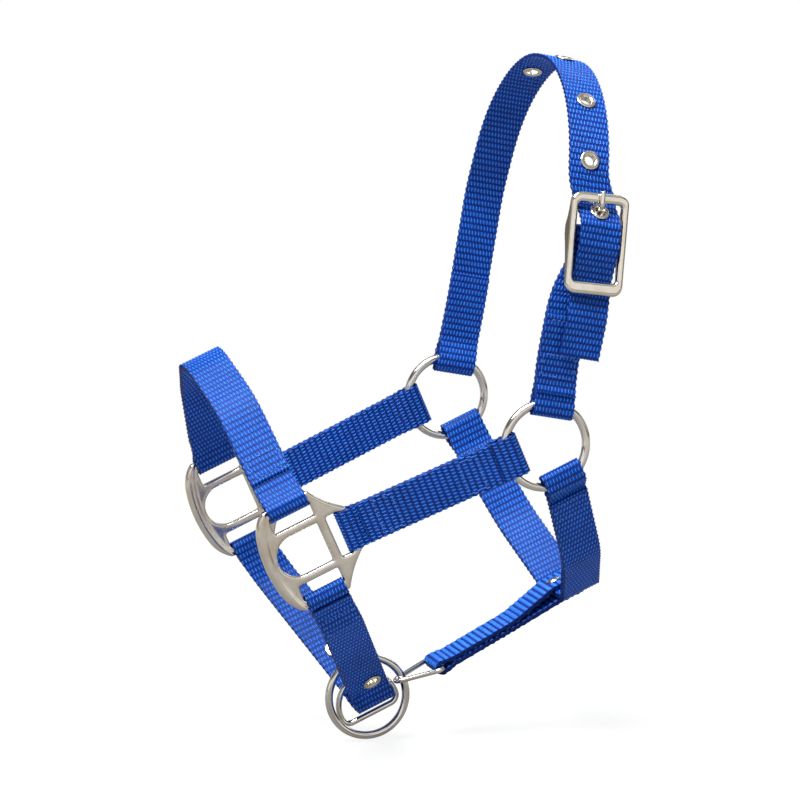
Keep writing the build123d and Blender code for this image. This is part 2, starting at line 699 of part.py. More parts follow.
# ---- connector: one webbing folded round the link, its ends over and under the throat strap ----
link_base = link_mid + link_dir * base_p
roll = 3.4                # one side of the folded webbing
roll_mid = roll / 2 + 0.05
side_view = frame(Vector(0, 0, 0), Vector(1, 0, 0), Vector(0, 0, 1))
stack_mid = throat_drop + (gap + ply) / 2
stack_half = (liner + gap + ply) / 2


def on_throat(w, depth):
    p = ring_mid + down * depth + throat_wide * (throat_shift + w)
    return p.X, p.Z


roll_front = (link_base.X, link_base.Z)
roll_bend = (roll_front[0] - 46.5, roll_front[1] + 24.0)
roll_split = on_throat(-20.5, stack_mid)
roll_radii = [60.0]
over_depth = stack_mid - stack_half - 0.2 - roll / 2
under_depth = stack_mid + stack_half + 0.2 + roll / 2
front_way = unit(roll_front, roll_bend)
roll_start = (roll_front[0] + front_way[0] * 7.0, roll_front[1] + front_way[1] * 7.0)
over_path, over_radii = shifted([roll_start, roll_bend, roll_split], roll_radii, -roll_mid)
under_path, under_radii = shifted([roll_start, roll_bend, roll_split], roll_radii, roll_mid)
rivet_w = -8.0
rivet_mid = ring_mid + down * stack_mid + throat_wide * (throat_shift + rivet_w)
with BuildPart() as connector:
    add(band(side_view, over_path + [on_throat(-14.4, over_depth), on_throat(4.0, over_depth)], over_radii + [8.0, 8.0], roll, out))
    add(band(side_view, under_path + [on_throat(-14.4, under_depth), on_throat(4.0, under_depth)], under_radii + [5.0, 5.0], roll, out))
    front_block = block(side_view, [(*roll_front, link_wire / 2 + 0.4 + 2.6), (*roll_start, roll_mid + roll / 2)], out)
    add(front_block)
    add(block(side_view, [(*roll_front, link_wire / 2 + 0.4)], out, 2 * web), mode=Mode.SUBTRACT)
    with Locations(Plane(origin=rivet_mid, z_dir=down)):
        Cylinder(2.15, 40, mode=Mode.SUBTRACT)
rivet_top = over_depth - roll / 2 - gap
rivet_low = under_depth + roll / 2 + gap
with BuildPart() as throat_rivet:
    with BuildSketch(Plane(origin=rivet_mid - down * stack_mid, x_dir=out, z_dir=out.cross(down))):
        with BuildLine():
            Polyline(
                (0, rivet_top - 1.2), (2.8, rivet_top - 1.0), (4.4, rivet_top),
                (2.0, rivet_top), (2.0, rivet_low), (4.4, rivet_low),
                (2.8, rivet_low + 1.0), (0, rivet_low + 1.2), close=True,
            )
        make_face()
    revolve(axis=Axis(rivet_mid - down * stack_mid, down))
with BuildPart() as throat_liner_holed:
    add(throat_liner.part)
    with Locations(Plane(origin=rivet_mid, z_dir=down)):
        Cylinder(2.15, 60, mode=Mode.SUBTRACT)
with BuildPart() as throat_face_holed:
    add(throat_face.part)
    with Locations(Plane(origin=rivet_mid, z_dir=down)):
        Cylinder(2.15, 60, mode=Mode.SUBTRACT)

# ---- chin strap layers and their eyelets ----
stack = liner + gap + ply
leg_unit = unit(chin_knee, chin_neck)


def on_chin(y, sign, shift):
    """Plane of an eyelet on the sloping leg at half width y."""
    t = (chin_knee[0] - y) / (chin_knee[0] - chin_neck[0])
    s = chin_knee[1] + t * (chin_neck[1] - chin_knee[1])
    lift = (gap + ply) / 2
    n = (leg_unit[1], -leg_unit[0])
    centre = place(chin_plane, sign * (y + n[0] * lift), s + n[1] * lift) + back * shift
    run = chin_plane.x_dir * (sign * leg_unit[0]) + chin_plane.y_dir * leg_unit[1]
    return Plane(origin=centre, x_dir=back, z_dir=(back.cross(run) * -sign).normalized())


chin_left, chin_right = on_chin(18.0, 1, 3.0), on_chin(29.5, -1, 0.0)
chin_flat = frame(square_mid, out, rise * -1)
chin_solid, chin_hollow = bar_loop_parts(chin_flat, (square_half, bar_v), chin_unit, back, web)
with BuildPart() as chin_liner:
    add(band(chin_plane, chin_path, chin_radii, liner, back))
    add(chin_solid)
    add(mirror(chin_solid, about=Plane.XZ))
    add(chin_hollow, mode=Mode.SUBTRACT)
    add(mirror(chin_hollow, about=Plane.XZ), mode=Mode.SUBTRACT)
    with Locations(chin_left, chin_right):
        Cylinder(eyelet_barrel / 2 + 0.1, 14, mode=Mode.SUBTRACT)
with BuildPart() as chin_face:
    add(band(chin_plane, chin_face_path, chin_face_radii, ply, back))
    with Locations(chin_left, chin_right):
        Cylinder(eyelet_barrel / 2 + 0.1, 14, mode=Mode.SUBTRACT)
with BuildPart() as chin_eyelet_left:
    add(eyelet(chin_left, stack))
with BuildPart() as chin_eyelet_right:
    add(eyelet(chin_right, stack))

pieces = {
    "noseband_liner": noseband_liner,
    "noseband_face": noseband_face,
    "left_square": left_square,
    "right_square": right_square,
    "left_cheek_liner": left_cheek_liner,
    "left_cheek_face": left_cheek_face,
    "right_cheek_liner": right_cheek_liner,
    "right_cheek_face": right_cheek_face,
    "left_ring": left_ring,
    "right_ring": right_ring,
    "crown_strap": crown_strap,
    "billet": billet,
    "billet_face": billet_face,
    "buckle_frame": buckle_frame,
    "buckle_tongue": buckle_tongue,
    "throat_liner": throat_liner_holed,
    "throat_face": throat_face_holed,
    "throat_rivet": throat_rivet,
    "connector": connector,
    "chin_link": chin_link,
    "chin_liner": chin_liner,
    "chin_face": chin_face,
    "chin_dee": chin_dee,
    "chin_ring": chin_ring,
    "chin_eyelet_left": chin_eyelet_left,
    "chin_eyelet_right": chin_eyelet_right,
}
for number, one in enumerate(crown_eyelets, start=1):
    pieces[f"crown_eyelet_{number}"] = one

for name, piece in pieces.items():
    piece.part.label = name
    export_step(piece.part, f"parts/{name}.step")
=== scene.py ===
import logging
import math
from dataclasses import dataclass, field
from enum import Enum

import bmesh
import bpy
import numpy as np
from mathutils import Matrix, Vector


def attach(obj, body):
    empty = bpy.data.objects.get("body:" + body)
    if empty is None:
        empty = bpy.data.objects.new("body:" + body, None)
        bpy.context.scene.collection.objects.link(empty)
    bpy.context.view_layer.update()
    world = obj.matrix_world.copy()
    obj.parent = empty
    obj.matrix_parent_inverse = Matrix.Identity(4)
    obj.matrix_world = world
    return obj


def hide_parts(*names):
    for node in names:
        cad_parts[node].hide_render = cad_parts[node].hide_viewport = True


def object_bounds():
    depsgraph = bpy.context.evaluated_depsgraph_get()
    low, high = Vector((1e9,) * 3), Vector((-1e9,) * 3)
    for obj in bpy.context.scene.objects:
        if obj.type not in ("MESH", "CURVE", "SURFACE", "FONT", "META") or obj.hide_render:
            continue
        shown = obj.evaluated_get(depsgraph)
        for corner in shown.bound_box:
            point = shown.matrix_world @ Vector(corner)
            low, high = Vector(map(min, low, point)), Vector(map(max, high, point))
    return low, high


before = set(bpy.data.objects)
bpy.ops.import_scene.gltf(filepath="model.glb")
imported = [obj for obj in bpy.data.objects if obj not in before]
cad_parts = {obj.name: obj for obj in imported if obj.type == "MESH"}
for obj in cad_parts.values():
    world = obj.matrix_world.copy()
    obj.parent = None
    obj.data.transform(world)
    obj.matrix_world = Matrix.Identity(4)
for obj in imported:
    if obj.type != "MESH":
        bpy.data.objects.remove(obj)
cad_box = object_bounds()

log = logging.getLogger("halter")

Material, Node, Socket = bpy.types.Material, bpy.types.Node, bpy.types.NodeSocket
Piece, Shape, Edge, Layer = bpy.types.Object, bmesh.types.BMesh, bmesh.types.BMEdge, bmesh.types.BMLayerItem
Point = tuple[float, float]
Point3 = tuple[float, float, float]
Tint = tuple[float, float, float]
Colour = tuple[float, float, float, float]
Stops = tuple[tuple[float, Tint], ...]

MM = 0.001
HARNESS = "harness"

# ---------------------------------------------------------------- sizes, mm and degrees
WEB = 25.0                                      # width of every strap
PLY, LAYER_GAP = 1.6, 0.05                      # room for one layer of webbing, and between two sewn layers
HALF_LINER = PLY / 2                            # middle of a doubled liner to the middle of one run
LAYER_STEP = PLY + LAYER_GAP                    # middle of one layer to the middle of the next
SLACK = 0.8                                     # between a folded strap and the bar or wire inside it
CHEEK_TILT, CROWN_LEAN, THROAT_LEAN = 24.0, 11.0, 24.0
CROWN_HEIGHT = 220.6                            # cheek ring to the poll, along the crown's lean
THROAT_DROP = 113.0                             # cheek ring to the lowest run of the throat strap
THROAT_SHIFT = 1.8                              # the throat strap's middle from the ring's centre
CROWN_EYELETS = 5
CHIN_DROP = 128.4                               # halter square to the lowest run of the chin strap
CHIN_RING_BACK, CHIN_RING_DROP = 12.0, 124.8    # halter square to the lead ring's middle
RING_BORE, RING_WIRE = 45.0, 5.0
RING_RADIUS = (RING_BORE + RING_WIRE) / 2
RING_SEAT = RING_WIRE / 2 + SLACK
CURVE_ROOM = 0.5                                # extra in a loop for the ring's curve
RING_HALF, SQUARE_HALF = 100.5, 88.4            # middle plane out to each ring and square
SQUARE_AHEAD, SQUARE_RISE = 152.8, 5.2          # cheek ring to the square, ahead and up
SQUARE_BAR = 29.1                               # halter square's centre to its nose bar and its chin bar
BAR_SEAT, BAR_SPAN = 3.05, 0.85                 # webbing's inner face round a square's bar


def leaning(x: float, z: float) -> Vector:
    """Unit direction in the halter's middle plane."""
    return Vector((x, 0.0, z)).normalized()


def tilted(degrees: float) -> Point:
    """Cosine and sine of an angle in degrees."""
    return math.cos(math.radians(degrees)), math.sin(math.radians(degrees))


def eased(share: float) -> float:
    """A share held to 0..1 that starts and ends gently."""
    held = max(0.0, min(1.0, share))
    return held * held * (3 - 2 * held)


_c, _s = tilted(CHEEK_TILT)
BACK, RISE = leaning(-_c, _s), leaning(_s, _c)
_c, _s = tilted(CROWN_LEAN)
UP, WIDE = leaning(-_s, _c), leaning(_c, _s)
_c, _s = tilted(THROAT_LEAN)
DOWN, THROAT_WIDE = leaning(-_s, -_c), leaning(-_c, _s)
OUT = Vector((0.0, 1.0, 0.0))
RING_MID = UP * -CROWN_HEIGHT
SQUARE_MID = RING_MID - BACK * SQUARE_AHEAD + RISE * SQUARE_RISE
CHIN_RING_MID = SQUARE_MID + BACK * CHIN_RING_BACK - RISE * CHIN_RING_DROP


class Side(Enum):
    """The animal's left and right."""

    LEFT = 1
    RIGHT = -1

    @property
    def word(self) -> str:
        """The side's name as node names have it."""
        return self.name.lower()


# ---------------------------------------------------------------- finishes
class Bench:
    """A short way to lay out the nodes of a material or a world."""

    def __init__(self, owner: Material | bpy.types.World, output: str = "OutputMaterial") -> None:
        """Clears the owner's nodes and adds its output.

        Args:
            owner: the material or world.
            output: the output node's type without its ShaderNode prefix.
        """
        owner.use_nodes = True
        self.tree = owner.node_tree
        self.tree.nodes.clear()
        self.output = self.tree.nodes.new("ShaderNode" + output)

    def add(self, kind: str, **sockets: object) -> Node:
        """Adds a node.

        Args:
            kind: the node's type without its ShaderNode prefix.
            sockets: input name (spaces as underscores) to a value or a socket.

        Returns:
            The new node.
        """
        node = self.tree.nodes.new("ShaderNode" + kind)
        for name, value in sockets.items():
            self.feed(node.inputs[name.replace("_", " ")], value)
        return node

    def feed(self, socket: Socket, value: object) -> None:
        """Links a socket, or sets its value.

        Args:
            socket: the input to feed.
            value: an output socket or a plain value.
        """
        if isinstance(value, Socket):
            self.tree.links.new(value, socket)
        else:
            socket.default_value = value

    def math(self, operation: str, a: object, b: object = None) -> Socket:
        """Does one arithmetic step.

        Args:
            operation: the step's name.
            a, b: its values or sockets; b is left out where the step takes one.

        Returns:
            The result's socket.
        """
        node = self.add("Math")
        node.operation = operation
        self.feed(node.inputs[0], a)
        if b is not None:
            self.feed(node.inputs[1], b)
        return node.outputs[0]

    def beat(self, turns: object, beats: float = 1.0) -> Socket:
        """A cosine with a number of beats a turn."""
        return self.math("COSINE", self.math("MULTIPLY", turns, beats * 2 * math.pi))

    def fit(self, value: object, low: float, high: float, start: float = 0.0, end: float = 1.0) -> Socket:
        """Maps start..end to low..high."""
        node = self.add("MapRange", Value=value, From_Min=start, From_Max=end, To_Min=low, To_Max=high)
        return node.outputs["Result"]

    def noise(self, vector: object, scale: float, detail: float = 2.0, roughness: float = 0.5) -> Socket:
        """Noise value at a scale."""
        node = self.add("TexNoise", Vector=vector, Scale=scale, Detail=detail, Roughness=roughness)
        return node.outputs["Fac"]

    def place(self) -> Socket:
        """The point's place on its piece."""
        return self.add("TexCoord").outputs["Object"]

    def mix(self, share: object, a: object, b: object, kind: str = "MIX") -> Socket:
        """Blends two colours.

        Args:
            share: how much of b shows, 0 to 1.
            a, b: the colours.
            kind: the way of blending.

        Returns:
            The blended colour's socket.
        """
        node = self.add("Mix")
        node.data_type, node.blend_type = "RGBA", kind
        factor, first, second = node.inputs[0], node.inputs[6], node.inputs[7]
        for socket, value in zip((factor, first, second), (share, a, b)):
            self.feed(socket, value)
        return node.outputs[2]

    def ramp(self, value: object, stops: Stops) -> Socket:
        """Grades a colour along a value.

        Args:
            value: the socket to grade by, 0 to 1.
            stops: positions and their colours.

        Returns:
            The colour's socket.
        """
        node = self.add("ValToRGB")
        self.feed(node.inputs[0], value)
        band = node.color_ramp
        while len(band.elements) < len(stops):
            band.elements.new(0.5)
        for element, (position, colour) in zip(band.elements, stops):
            element.position, element.color = position, (*colour, 1.0)
        return node.outputs[0]

    def blend(self, share: object, low: Node, high: Node) -> Node:
        """Mixes two shaders.

        Args:
            share: how much of high shows, 0 to 1.
            low, high: the shader nodes.

        Returns:
            The mixing node.
        """
        mixed = self.add("MixShader")
        for socket, value in zip(mixed.inputs, (share, low.outputs[0], high.outputs[0])):
            self.feed(socket, value)
        return mixed

    def finish(self, shader: Node) -> None:
        """Links the last shader to the output."""
        self.tree.links.new(shader.outputs[0], self.output.inputs["Surface"])


@dataclass(frozen=True)
class WeaveSize:
    """Pitches and relief of the webbing's weave, metres.

    Attributes:
        column: width of one column of yarn.
        pair: length of one repeat along the strap.
        slant: how far a grain leans across its column, in repeats.
        lift: height of a grain over the gaps.
        roundness: power that flattens a grain's crest, lower for flatter.
    """

    column: float = WEB * MM / 24
    pair: float = 0.0077
    slant: float = 0.15
    lift: float = 0.00052
    roundness: float = 0.6


WEAVE = WeaveSize()


@dataclass(frozen=True)
class WebbingFinish:
    """Royal blue filament webbing: raised glossy warp grains, with painted shade in the gaps and a painted
    highlight on the grain tops.

    Attributes:
        deep, face, crest: the colour in the gaps, on the grains and on their tops.
        filaments, filament_run: how fine the filaments are across and along the yarn.
        filament_slant: how far they lean for each unit along it.
    """

    name: str = "blue_webbing"
    # deep is painted shade for the gaps between grains; crest is a painted highlight for the grain tops; face
    # is the yarn's own blue.
    deep: Colour = (0.002, 0.012, 0.11, 1.0)
    face: Colour = (0.012, 0.086, 0.56, 1.0)
    crest: Colour = (0.042, 0.270, 0.93, 1.0)
    filaments: float = 4200.0
    filament_run: float = 420.0
    filament_slant: float = 0.16

    def build(self) -> Material:
        """Makes the material.

        Returns:
            The finish, ready for a piece.
        """
        material = bpy.data.materials.new(self.name)
        b = Bench(material)
        uv = b.add("UVMap")
        uv.uv_map = "weave"
        parts = b.add("SeparateXYZ", Vector=uv.outputs["UV"])
        across, along = parts.outputs["X"], parts.outputs["Y"]
        column_place = b.math("DIVIDE", across, WEAVE.column)
        column = b.math("FLOOR", column_place)
        height = self._relief(b, along, column_place, column)
        aslant = b.math("ADD", across, b.math("MULTIPLY", along, self.filament_slant))
        fibre_at = b.add(
            "CombineXYZ",
            X=b.math("MULTIPLY", aslant, self.filaments),
            Y=b.math("MULTIPLY", along, self.filament_run),
            Z=column,
        )
        fibre = b.noise(fibre_at.outputs[0], 1.0, 2.0, 0.6)
        broad = b.noise(b.place(), 38.0, 3.0, 0.55)
        # Painted shade darkens the gaps and a painted highlight lightens the grain tops, following the
        # weave's relief.
        colour = b.mix(b.fit(height, 0.0, 1.0, 0.10, 0.62), self.deep, self.face)
        colour = b.mix(b.fit(height, 0.0, 0.85, 0.60, 1.0), colour, self.crest)
        shade = b.math("MULTIPLY", b.fit(fibre, 0.72, 1.22, 0.25, 0.75), b.fit(broad, 0.88, 1.12, 0.3, 0.7))
        tone = b.add("CombineColor", Red=shade, Green=shade, Blue=shade)
        relief = b.math("ADD", height, b.math("MULTIPLY", fibre, 0.22))
        bump = b.add("Bump", Strength=0.8, Distance=0.00045, Height=relief)
        b.finish(b.add(
            "BsdfPrincipled",
            Base_Color=b.mix(1.0, colour, tone.outputs[0], "MULTIPLY"),
            Normal=bump.outputs[0],
            Roughness=b.fit(fibre, 0.26, 0.44, 0.2, 0.8),
            Specular_IOR_Level=0.12,
        ))
        return material

    def _relief(self, b: Bench, along: Socket, column_place: Socket, column: Socket) -> Socket:
        """Works out how high the yarn stands.

        Args:
            b: the material's nodes.
            along: distance along the strap.
            column_place: place across it, in yarn columns.
            column: the column's number.

        Returns:
            The height's socket, 0 in a gap and 1 on a crest.
        """
        inside = b.math("FRACT", column_place)
        ridge = b.math("SINE", b.math("MULTIPLY", inside, math.pi))
        repeats = b.math("ADD", b.math("DIVIDE", along, WEAVE.pair), b.math("MULTIPLY", column, 0.5))
        turns = b.math("ADD", repeats, b.math("MULTIPLY", inside, WEAVE.slant))
        over = b.fit(b.beat(turns), 0.48, 1.0, -0.45, 0.75)
        rib = b.fit(b.beat(turns, 2.0), 0.34, 1.0, -0.95, 0.1)
        return b.math("MULTIPLY", b.math("POWER", ridge, WEAVE.roundness), b.math("MULTIPLY", over, rib))


@dataclass(frozen=True)
class ThreadFinish:
    """Twisted sewing thread."""

    name: str
    colour: Colour = (0.03, 0.15, 0.62, 1.0)
    shadow: Colour = (0.02, 0.08, 0.40, 1.0)

    def build(self) -> Material:
        """Makes the material.

        Returns:
            The finish, ready for a piece.
        """
        material = bpy.data.materials.new(self.name)
        b = Bench(material)
        twist = b.noise(b.place(), 3200.0)
        bump = b.add("Bump", Strength=0.5, Distance=0.0001, Height=twist)
        b.finish(b.add(
            "BsdfPrincipled",
            Base_Color=b.mix(b.fit(twist, 0.0, 0.5, 0.3, 0.7), self.colour, self.shadow),
            Normal=bump.outputs[0],
            Roughness=b.fit(twist, 0.35, 0.55),
            Sheen_Weight=0.15,
        ))
        return material


@dataclass(frozen=True)
class NickelFinish:
    """Nickel plate over a casting or wire, with handling marks.

    Attributes:
        tint, warm: the plate's two tones.
        smooth, rough: its roughness where least and most handled.
        grain, relief: how fine and how deep its surface grain is.
    """

    name: str
    tint: Colour
    warm: Colour
    smooth: float
    rough: float
    grain: float = 500.0
    relief: float = 0.00002

    def build(self) -> Material:
        """Makes the material.

        Returns:
            The finish, ready for a piece.
        """
        material = bpy.data.materials.new(self.name)
        b = Bench(material)
        at = b.place()
        cloud = b.noise(at, 95.0, 4.0, 0.6)
        fine = b.noise(at, self.grain, 3.0, 0.6)
        scratch_at = b.add("Mapping", Vector=at, Scale=(260.0, 2400.0, 420.0), Rotation=(0.4, 0.7, 0.5))
        scratch = b.noise(scratch_at.outputs[0], 1.0, 2.0, 0.7)
        worn = b.fit(cloud, self.smooth, self.rough, 0.3, 0.7)
        relief = b.math("ADD", fine, b.math("MULTIPLY", scratch, 0.4))
        bump = b.add("Bump", Strength=0.12, Distance=self.relief, Height=relief)
        b.finish(b.add(
            "BsdfPrincipled",
            Base_Color=b.mix(b.fit(cloud, 0.0, 1.0, 0.35, 0.68), self.tint, self.warm),
            Metallic=1.0,
            Roughness=b.math("ADD", worn, b.fit(scratch, 0.0, 0.08, 0.5, 0.75)),
            Normal=bump.outputs[0],
        ))
        return material


class Finishes:
    """Every finish of the halter, made once."""

    def __init__(self) -> None:
        """Builds the materials."""
        self.webbing = WebbingFinish().build()
        self.thread = ThreadFinish("blue_thread").build()
        self.pale_thread = ThreadFinish("pale_thread", (0.12, 0.32, 0.86, 1.0)).build()
        self.satin = self._nickel("satin", (0.78, 0.75, 0.70, 1.0), (0.68, 0.62, 0.54, 1.0), 0.12, 0.19)
        self.polished = self._nickel("polished", (0.80, 0.79, 0.77, 1.0), (0.74, 0.70, 0.64, 1.0), 0.05, 0.09)
        self.buckle = self._nickel("buckle", (0.78, 0.75, 0.69, 1.0), (0.72, 0.66, 0.55, 1.0), 0.08, 0.14)
        self.eyelet = self._nickel("eyelet", (0.82, 0.78, 0.70, 1.0), (0.74, 0.67, 0.55, 1.0), 0.14, 0.22)

    @staticmethod
    def _nickel(kind: str, *look: object) -> Material:
        """One nickel finish, from its kind, its two tints, and how smooth and rough it gets."""
        return NickelFinish(kind + "_nickel", *look).build()


# ---------------------------------------------------------------- strap lines
@dataclass(frozen=True)
class Bend:
    """A circle that a line goes round: centre and signed radius, positive for a left turn, 0 for an end."""

    x: float
    y: float
    r: float = 0.0

    def shifted(self, d: float) -> "Bend":
        """The same bend on a line set d to the right."""
        return Bend(self.x, self.y, self.r + d)

    def reverse(self) -> "Bend":
        """The same bend walked the other way."""
        return Bend(self.x, self.y, -self.r)


@dataclass(frozen=True)
class Station:
    """A place on a line: position, heading and distance run."""

    x: float
    y: float
    heading: float
    run: float


def rounded(points: list[Point], radii: list[float]) -> list[Bend]:
    """Turns a corner list with rounding radii into bends.

    Args:
        points: corners, ends included.
        radii: one radius for each inner corner.

    Returns:
        The two ends as bends of radius 0, and the circles between them.
    """
    bends = [Bend(*points[0])]
    for (ax, ay), (bx, by), (cx, cy), r in zip(points, points[1:], points[2:], radii):
        first, last = Vector((ax - bx, ay - by)).normalized(), Vector((cx - bx, cy - by)).normalized()
        half = first.angle(last) / 2
        middle = (first + last).normalized() * (r / math.sin(half))
        turn = (bx - ax) * (cy - by) - (by - ay) * (cx - bx)
        bends.append(Bend(bx + middle.x, by + middle.y, math.copysign(r, turn)))
    bends.append(Bend(*points[-1]))
    return bends


@dataclass(frozen=True)
class Stretch:
    """One straight run of a line, or one arc of it where it goes round a bend."""

    begin: float
    start: Vector
    heading: float
    bend: Bend | None = None

    def at(self, run: float) -> Station:
        """The station at a distance along the whole line.

        Args:
            run: the distance.

        Returns:
            The station.
        """
        step = run - self.begin
        if self.bend is None:
            ahead = self.start + Vector((math.cos(self.heading), math.sin(self.heading))) * step
            return Station(ahead.x, ahead.y, self.heading, run)
        heading = self.heading + step / self.bend.r
        x = self.bend.x + math.sin(heading) * self.bend.r
        return Station(x, self.bend.y - math.cos(heading) * self.bend.r, heading, run)


@dataclass
class Route:
    """A smooth line of straight runs and arcs round a list of bends, in millimetres."""

    bends: list[Bend]
    closed: bool = False
    trim: Point = (0.0, 0.0)
    parts: list[Stretch] = field(default_factory=list)
    length: float = 0.0
    longest_turn: float = 5.6

    def __post_init__(self) -> None:
        """Works out the runs and arcs; a turn past the longest is a straight join's rounding error."""
        ring = self.bends + self.bends[:1] if self.closed else self.bends
        runs = [self.between(a, b) for a, b in zip(ring, ring[1:])]
        for k, (start, end, heading) in enumerate(runs):
            self.parts.append(Stretch(self.length, start, heading))
            self.length += (end - start).length
            if k + 1 < len(runs) or self.closed:
                bend = ring[k + 1]
                turn = (runs[(k + 1) % len(runs)][2] - heading) % (2 * math.pi)
                if bend.r < 0:
                    turn -= 2 * math.pi
                if bend.r and 0.0 < abs(turn) <= self.longest_turn:
                    self.parts.append(Stretch(self.length, end, heading, bend))
                    self.length += abs(turn * bend.r)

    @staticmethod
    def between(a: Bend, b: Bend) -> tuple[Vector, Vector, float]:
        """Finds the straight run that leaves one bend and joins the next.

        Args:
            a, b: the bends.

        Returns:
            The run's start, its end and its heading.
        """
        gap = Vector((b.x - a.x, b.y - a.y))
        heading = math.atan2(gap.y, gap.x) - math.asin(max(-1.0, min(1.0, (b.r - a.r) / gap.length)))
        left = Vector((-math.sin(heading), math.cos(heading)))
        return Vector((a.x, a.y)) - left * a.r, Vector((b.x, b.y)) - left * b.r, heading

    def at(self, run: float) -> Station:
        """The station at a distance along the whole line."""
        passed = (part for part in reversed(self.parts) if part.begin <= run + 1e-9)
        return next(passed, self.parts[0]).at(run)

    def stations(self, step: float) -> list[Station]:
        """Lays evenly spaced stations from one trimmed end to the other.

        Args:
            step: the spacing wanted.

        Returns:
            The stations; a closed line's last one stops a step short of its first.
        """
        low, high = self.trim[0], self.length - self.trim[1]
        count = max(2, round((high - low) / step))
        return [self.at(low + (high - low) * k / count) for k in range(count + (0 if self.closed else 1))]


@dataclass(frozen=True)
class Layout:
    """The plane a strap's line is drawn in, and the direction of the strap's width."""

    origin: Vector
    x: Vector
    y: Vector
    wide: Vector

    def place(self, x: float, y: float, across: float = 0.0) -> Vector:
        """A point in metres in the halter's frame."""
        return (self.origin + self.x * x + self.y * y + self.wide * across) * MM

    def mirror(self) -> "Layout":
        """The same plane on the animal's other side."""
        flip = Matrix.Diagonal((1.0, -1.0, 1.0))
        return Layout(flip @ self.origin, flip @ self.x, flip @ self.y, flip @ self.wide)

    def right_of(self, heading: float) -> Vector:
        """Unit direction to the right of a heading in the plane."""
        return (self.x * math.sin(heading) - self.y * math.cos(heading)).normalized()


@dataclass(frozen=True)
class Wander:
    """How a strap's centre wanders sideways with the height in its plane.

    Attributes:
        marks: sideways places and the heights they hold at.
        soften: half the height that each place is averaged over.
        twist, twist_from, twist_to: how steeply the strap's rows tilt, and between which heights that grows.
    """

    marks: tuple[Point, ...] = ((0.0, -1000.0), (0.0, 1000.0))
    soften: float = 9.0
    twist: float = 0.0
    twist_from: float = 0.0
    twist_to: float = 1.0

    def _sharp(self, s: float) -> float:
        """Sideways place without the softening.

        Args:
            s: height in the plane.

        Returns:
            The place between the two marks round that height.
        """
        if s <= self.marks[0][1]:
            return self.marks[0][0]
        for (w0, s0), (w1, s1) in zip(self.marks, self.marks[1:]):
            if s0 <= s <= s1:
                return w0 + (w1 - w0) * (s - s0) / (s1 - s0)
        return self.marks[-1][0]

    def shift(self, s: float) -> float:
        """Sideways place of the strap's centre at a height, as the mean of nine round it."""
        return sum(self._sharp(s + self.soften * k / 4) for k in range(-4, 5)) / 9

    def slip(self, s: float) -> float:
        """How far a point rises for each unit across the strap."""
        return self.twist * eased((s - self.twist_from) / (self.twist_to - self.twist_from))


STRAIGHT = Wander()


@dataclass(frozen=True)
class BarLoop:
    """Webbing turned round a bar or ring wire at a strap's end.

    Attributes:
        x, y: the bar's middle.
        inner: from there to the webbing's inner face.
        span, span_angle: half length and direction of a bar that isn't round.
        reach: from the bar to where the two sides meet.
        blend: radius of the bends there.
    """

    x: float
    y: float
    inner: float
    span: float = 0.0
    span_angle: float = 90.0
    reach: float = 12.0
    blend: float = 7.0

    def heart(self, toward: Point) -> Vector:
        """Unit direction from the bar along the strap."""
        return Vector((toward[0] - self.x, toward[1] - self.y)).normalized()

    def bars(self, toward: Point, thick: float) -> list[Bend]:
        """Lists the circles that the webbing turns round, in order.

        Args:
            toward: the strap's next corner.
            thick: room for one layer of webbing.

        Returns:
            One bend for a round bar, and two or three for a bar with a span.
        """
        r = self.inner + thick / 2
        if not self.span:
            return [Bend(self.x, self.y, r)]
        c, s = tilted(self.span_angle)
        half, ahead = Vector((c, s)) * self.span, self.heart(toward)
        if half.dot(ahead) < 0:
            half = -half
        near, far = Bend(self.x + half.x, self.y + half.y, r), Bend(self.x - half.x, self.y - half.y, r)
        lean = ahead.x * half.y - ahead.y * half.x
        if abs(lean) < 0.2 * self.span:         # along the span, so the near end is passed twice
            return [near, far, near]
        return [near, far] if lean > 0 else [far, near]

    def arriving(self, toward: Point, half: float, thick: float) -> list[Bend]:
        """Bends a line that comes in on its right-hand ply round the bar and out on the other.

        Args:
            toward: the strap's next corner.
            half: the strap's middle to the middle of one ply.
            thick: room for one layer of webbing.

        Returns:
            The loop's bends, with the one at each mouth.
        """
        d = self.heart(toward)
        meet = Vector((self.x, self.y)) + d * self.reach
        side = Vector((-d.y, d.x)) * (half + self.blend)
        before, after = meet + side, meet - side
        mouths = Bend(before.x, before.y, -self.blend), Bend(after.x, after.y, -self.blend)
        return [mouths[0], *self.bars(toward, thick), mouths[1]]


def ring_loop(x: float, y: float, heading: Point, offset: float = 0.0, ease: float = 0.0) -> BarLoop:
    """Makes the loop round a ring's wire, long enough for the ring's curve across the strap.

    Args:
        x, y: where the wire's middle crosses the strap's centre.
        heading: unit direction from the wire away from the ring's centre.
        offset: how far the strap's centre is from the ring's centre.
        ease: extra length.

    Returns:
        The loop.
    """
    edge = WEB / 2 + abs(offset)
    inner = math.sqrt((RING_BORE / 2) ** 2 - edge ** 2)
    span = (RING_RADIUS - (inner - CURVE_ROOM + RING_SEAT - ease)) / 2
    angle = math.degrees(math.atan2(heading[1], heading[0]))
    return BarLoop(x - heading[0] * span, y - heading[1] * span, RING_SEAT, span, angle, reach=12.0 + span)


def square_loop(side: Side) -> BarLoop:
    """The loop round the nose bar or the chin bar of one halter square."""
    return BarLoop(SQUARE_HALF * side.value, SQUARE_BAR, BAR_SEAT, BAR_SPAN)


